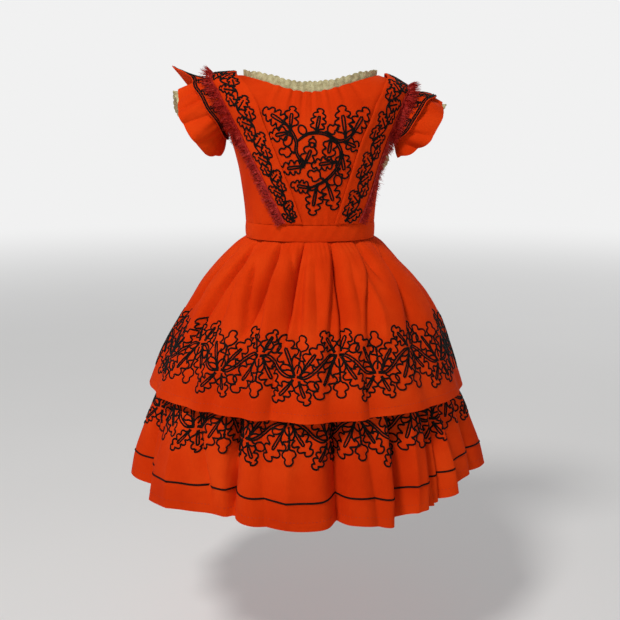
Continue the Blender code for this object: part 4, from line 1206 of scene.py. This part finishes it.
def fringe_direction(angle, share, way, side):
    """Unit vectors along which the fringe hangs from the band's edge, and the band's own normals there."""
    outward = np.where(way <= 1, 0.5, -0.5)
    past, before = (bodice_points(side * (angle + step), share) for step in (outward, -outward))
    across = unit(past - before)
    turn = np.arctan2((90 - angle) / ARMHOLE_HALF_ANGLE, (share - ARMHOLE_SHARE) / ARMHOLE_HALF_SHARE)
    around = np.degrees(turn)
    sleeve = unit(sleeve_points(around, 0.5, side) - sleeve_points(around, 0.0, side))
    raised = FRINGE_RAISE + (FRINGE_TOP_RAISE - FRINGE_RAISE) * np.clip(np.cos(turn), 0, 1) ** 3
    on_sleeve = ramp(share, 0.54, 0.74)[..., None]
    normals = bodice_normals(side * angle, share)
    hang = across * (1 - on_sleeve) + (sleeve + raised[..., None] * normals) * on_sleeve
    hang[..., 2] -= 0.30 * (1 - on_sleeve[..., 0])
    return unit(hang), normals


# The way along a band at even shares of the fringe, which lies closer over the shoulder.
EVEN_SHARES = np.linspace(0, 1, 240)
FRINGE_WAY = np.interp(EVEN_SHARES, (0, 0.35, 0.5, 0.65, 1), (0, 0.66, 1, 1.34, 2))


def make_fringe_heading(side):
    """The woven edge from which the fringe hangs."""
    inner_angle, inner_share, outer_angle, outer_share = bretelle_path(FRINGE_WAY, side)
    inner, outer = bodice_points(inner_angle, inner_share), bodice_points(outer_angle, outer_share)
    width = np.linalg.norm(outer - inner, axis=1)
    part = np.stack([1 - (HEADING_WIDTH * (1 - k)) / width - 0.015 * k for k in np.linspace(0, 1, 5)])
    angle, share = bretelle_place(FRINGE_WAY, part, side)
    twist = 0.0003 * np.sin(np.arange(len(FRINGE_WAY)) * 1.6)
    strip = off_bodice(angle, share, layer_height(share) + CLOTH / 2 + HEADING_WALL + twist)
    add_wall("fringe_heading_" + WORDS[side], strip, bodice_normals(angle, share), HEADING_WALL, SILK)


def make_fringe_strands(side, seed):
    """Loose silk strands in small tufts, each a thin three-sided tube."""
    chance = np.random.default_rng(seed)
    at = np.sort(chance.uniform(0, 1, STRANDS))
    way = np.interp(at, EVEN_SHARES, FRINGE_WAY)
    _, _, angle, share = bretelle_path(way, side)
    hang, normal = fringe_direction(angle, share, way, side)
    root = off_bodice(side * angle, share, layer_height(share) + CLOTH / 2)
    along = unit(np.gradient(root, axis=0))
    tuft = np.sin(at * 2 * np.pi * FRINGE_TUFTS) * 0.35
    lean = (tuft + chance.normal(0, 0.30, STRANDS))[:, None]
    stand = chance.normal(0.10, 0.22, STRANDS)[:, None]
    longer = 1 + (SHOULDER_STRANDS - 1) * ramp(share, 0.60, 0.76)
    length = STRAND_LENGTH * longer * chance.uniform(0.72, 1.08, STRANDS)
    direction = unit(hang + along * lean + normal * stand)
    curl = chance.normal(0, 0.0011, (STRANDS, 3)) + np.array([0, 0, -0.0006])
    start = root - direction * 0.0012 + normal * chance.uniform(0, 0.0011, STRANDS)[:, None]
    steps = np.array([0, 0.33, 0.66, 1.0])
    radius = STRAND_RADIUS * np.array([1.0, 1.05, 0.9, 0.35])
    path = (
        start[:, None]
        + direction[:, None] * (length[:, None] * steps)[..., None]
        + curl[:, None] * (steps**2)[None, :, None]
        + along[:, None] * (chance.normal(0, 0.0005, (STRANDS, 1)) * np.sin(steps * 5))[..., None]
    )
    first_side = unit(np.cross(direction, normal))
    second_side = np.cross(direction, first_side)
    corner = np.radians([[0], [120], [240]])
    ring = (first_side[:, None] * np.cos(corner) + second_side[:, None] * np.sin(corner))[:, None]
    points = (path[:, :, None] + ring * radius[None, :, None, None]).reshape(-1, 3)
    faces = []
    for strand in range(STRANDS):
        faces += tube_faces(strand * len(steps) * 3, len(steps), 3)
    piece = add_mesh("fringe_strands_" + WORDS[side], points, faces, SILK, smooth_angle=80)
    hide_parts("fringe_" + WORDS[side])


# The studio.

def make_floor_material():
    """Matt pale grey near the dress. Farther off it turns into the background's light."""
    values = {"Roughness": 0.95, "Specular IOR Level": 0.1}
    material, tree, shader, place = new_material("pale_studio_floor", values)
    stops = ((0.2, (0.78, 0.78, 0.78)), (0.8, (0.82, 0.82, 0.82)))
    add_colour(tree, shader, add_noise(tree, place, 1.5, 2.0), stops)
    distance = add_node(tree, "VectorMath", {0: place}, operation="LENGTH").outputs["Value"]
    far = add_fade(tree, distance, FLOOR_FADE, FLOOR_GLOW, 1.0)
    glow = add_node(tree, "Emission", {"Strength": WORLD_LOW}).outputs["Emission"]
    blend = add_node(tree, "MixShader", {"Fac": far, 1: shader.outputs["BSDF"], 2: glow})
    tree.links.new(blend.outputs["Shader"], tree.nodes["Material Output"].inputs["Surface"])
    return material


def make_stage():
    """A plain pale floor, as a wide round disc."""
    turn = np.linspace(0, 2 * math.pi, FLOOR_SIDES, endpoint=False)
    circle = np.stack([np.cos(turn), np.sin(turn)], axis=1)
    flat = np.concatenate([[(0, 0)], *(radius * circle for radius in FLOOR_RINGS)])
    points = np.insert(flat, 2, FLOOR_HEIGHT, axis=1)
    faces = [(0, 1 + k, 1 + (k + 1) % FLOOR_SIDES) for k in range(FLOOR_SIDES)]
    for ring in range(len(FLOOR_RINGS) - 1):
        for k in range(FLOOR_SIDES):
            a, b = 1 + ring * FLOOR_SIDES + k, 1 + ring * FLOOR_SIDES + (k + 1) % FLOOR_SIDES
            faces.append((a, a + FLOOR_SIDES, b + FLOOR_SIDES, b))
    add_object("studio_floor", new_mesh("studio_floor", points, faces, make_floor_material()))


def make_lights():
    for name, place, target, size, power, colour in LIGHTS:
        light = bpy.data.lights.new(name, "AREA")
        light.shape = "DISK"
        light.size = size
        light.energy = power
        light.color = colour
        made = add_object(name, light)
        made.location = place
        x, y, z = np.array(target) - np.array(place)
        made.rotation_euler = (math.atan2(math.hypot(x, y), -z), 0, math.atan2(y, x) - math.pi / 2)


def make_world():
    """An even background, bright below and level with the dress and dim above."""
    world = bpy.data.worlds.new("soft_studio")
    world.use_nodes = True
    tree = world.node_tree
    direction = add_node(tree, "TexCoord", {}).outputs["Generated"]
    height = add_node(tree, "SeparateXYZ", {"Vector": direction}).outputs["Z"]
    background = tree.nodes["Background"]
    tree.links.new(add_fade(tree, height, WORLD_FADE, WORLD_LOW, WORLD_HIGH), background.inputs["Strength"])
    background.inputs["Color"].default_value = (1.0, 1.0, 1.0, 1.0)
    bpy.context.scene.world = world
    bpy.context.scene.view_settings.view_transform = "Standard"


def make_camera():
    data = bpy.data.cameras.new("photo_camera")
    data.lens = 50.0
    data.sensor_width = 36.0
    camera = add_object("photo_camera", data)
    camera.location = CAMERA_PLACE
    camera.rotation_euler = (math.radians(90 - CAMERA_TILT), 0, 0)
    bpy.context.scene.camera = camera


def main():
    make_lights()
    make_world()
    make_camera()
    make_stage()
    make_waistband()
    make_bodice()
    make_placket()
    for side in WORDS:
        make_bretelle(side)
        make_sleeve(side)
    make_underarm_lace()
    make_skirt()
    make_neck_lace()
    make_skirt_braid()
    make_hem_braid()
    make_stitches()
    make_plastron_braid()
    for side, seed in ((1, 11), (-1, 12)):
        make_bretelle_braid(side)
        make_cap_braid(side)
        make_fringe_heading(side)
        make_fringe_strands(side, seed)


main()
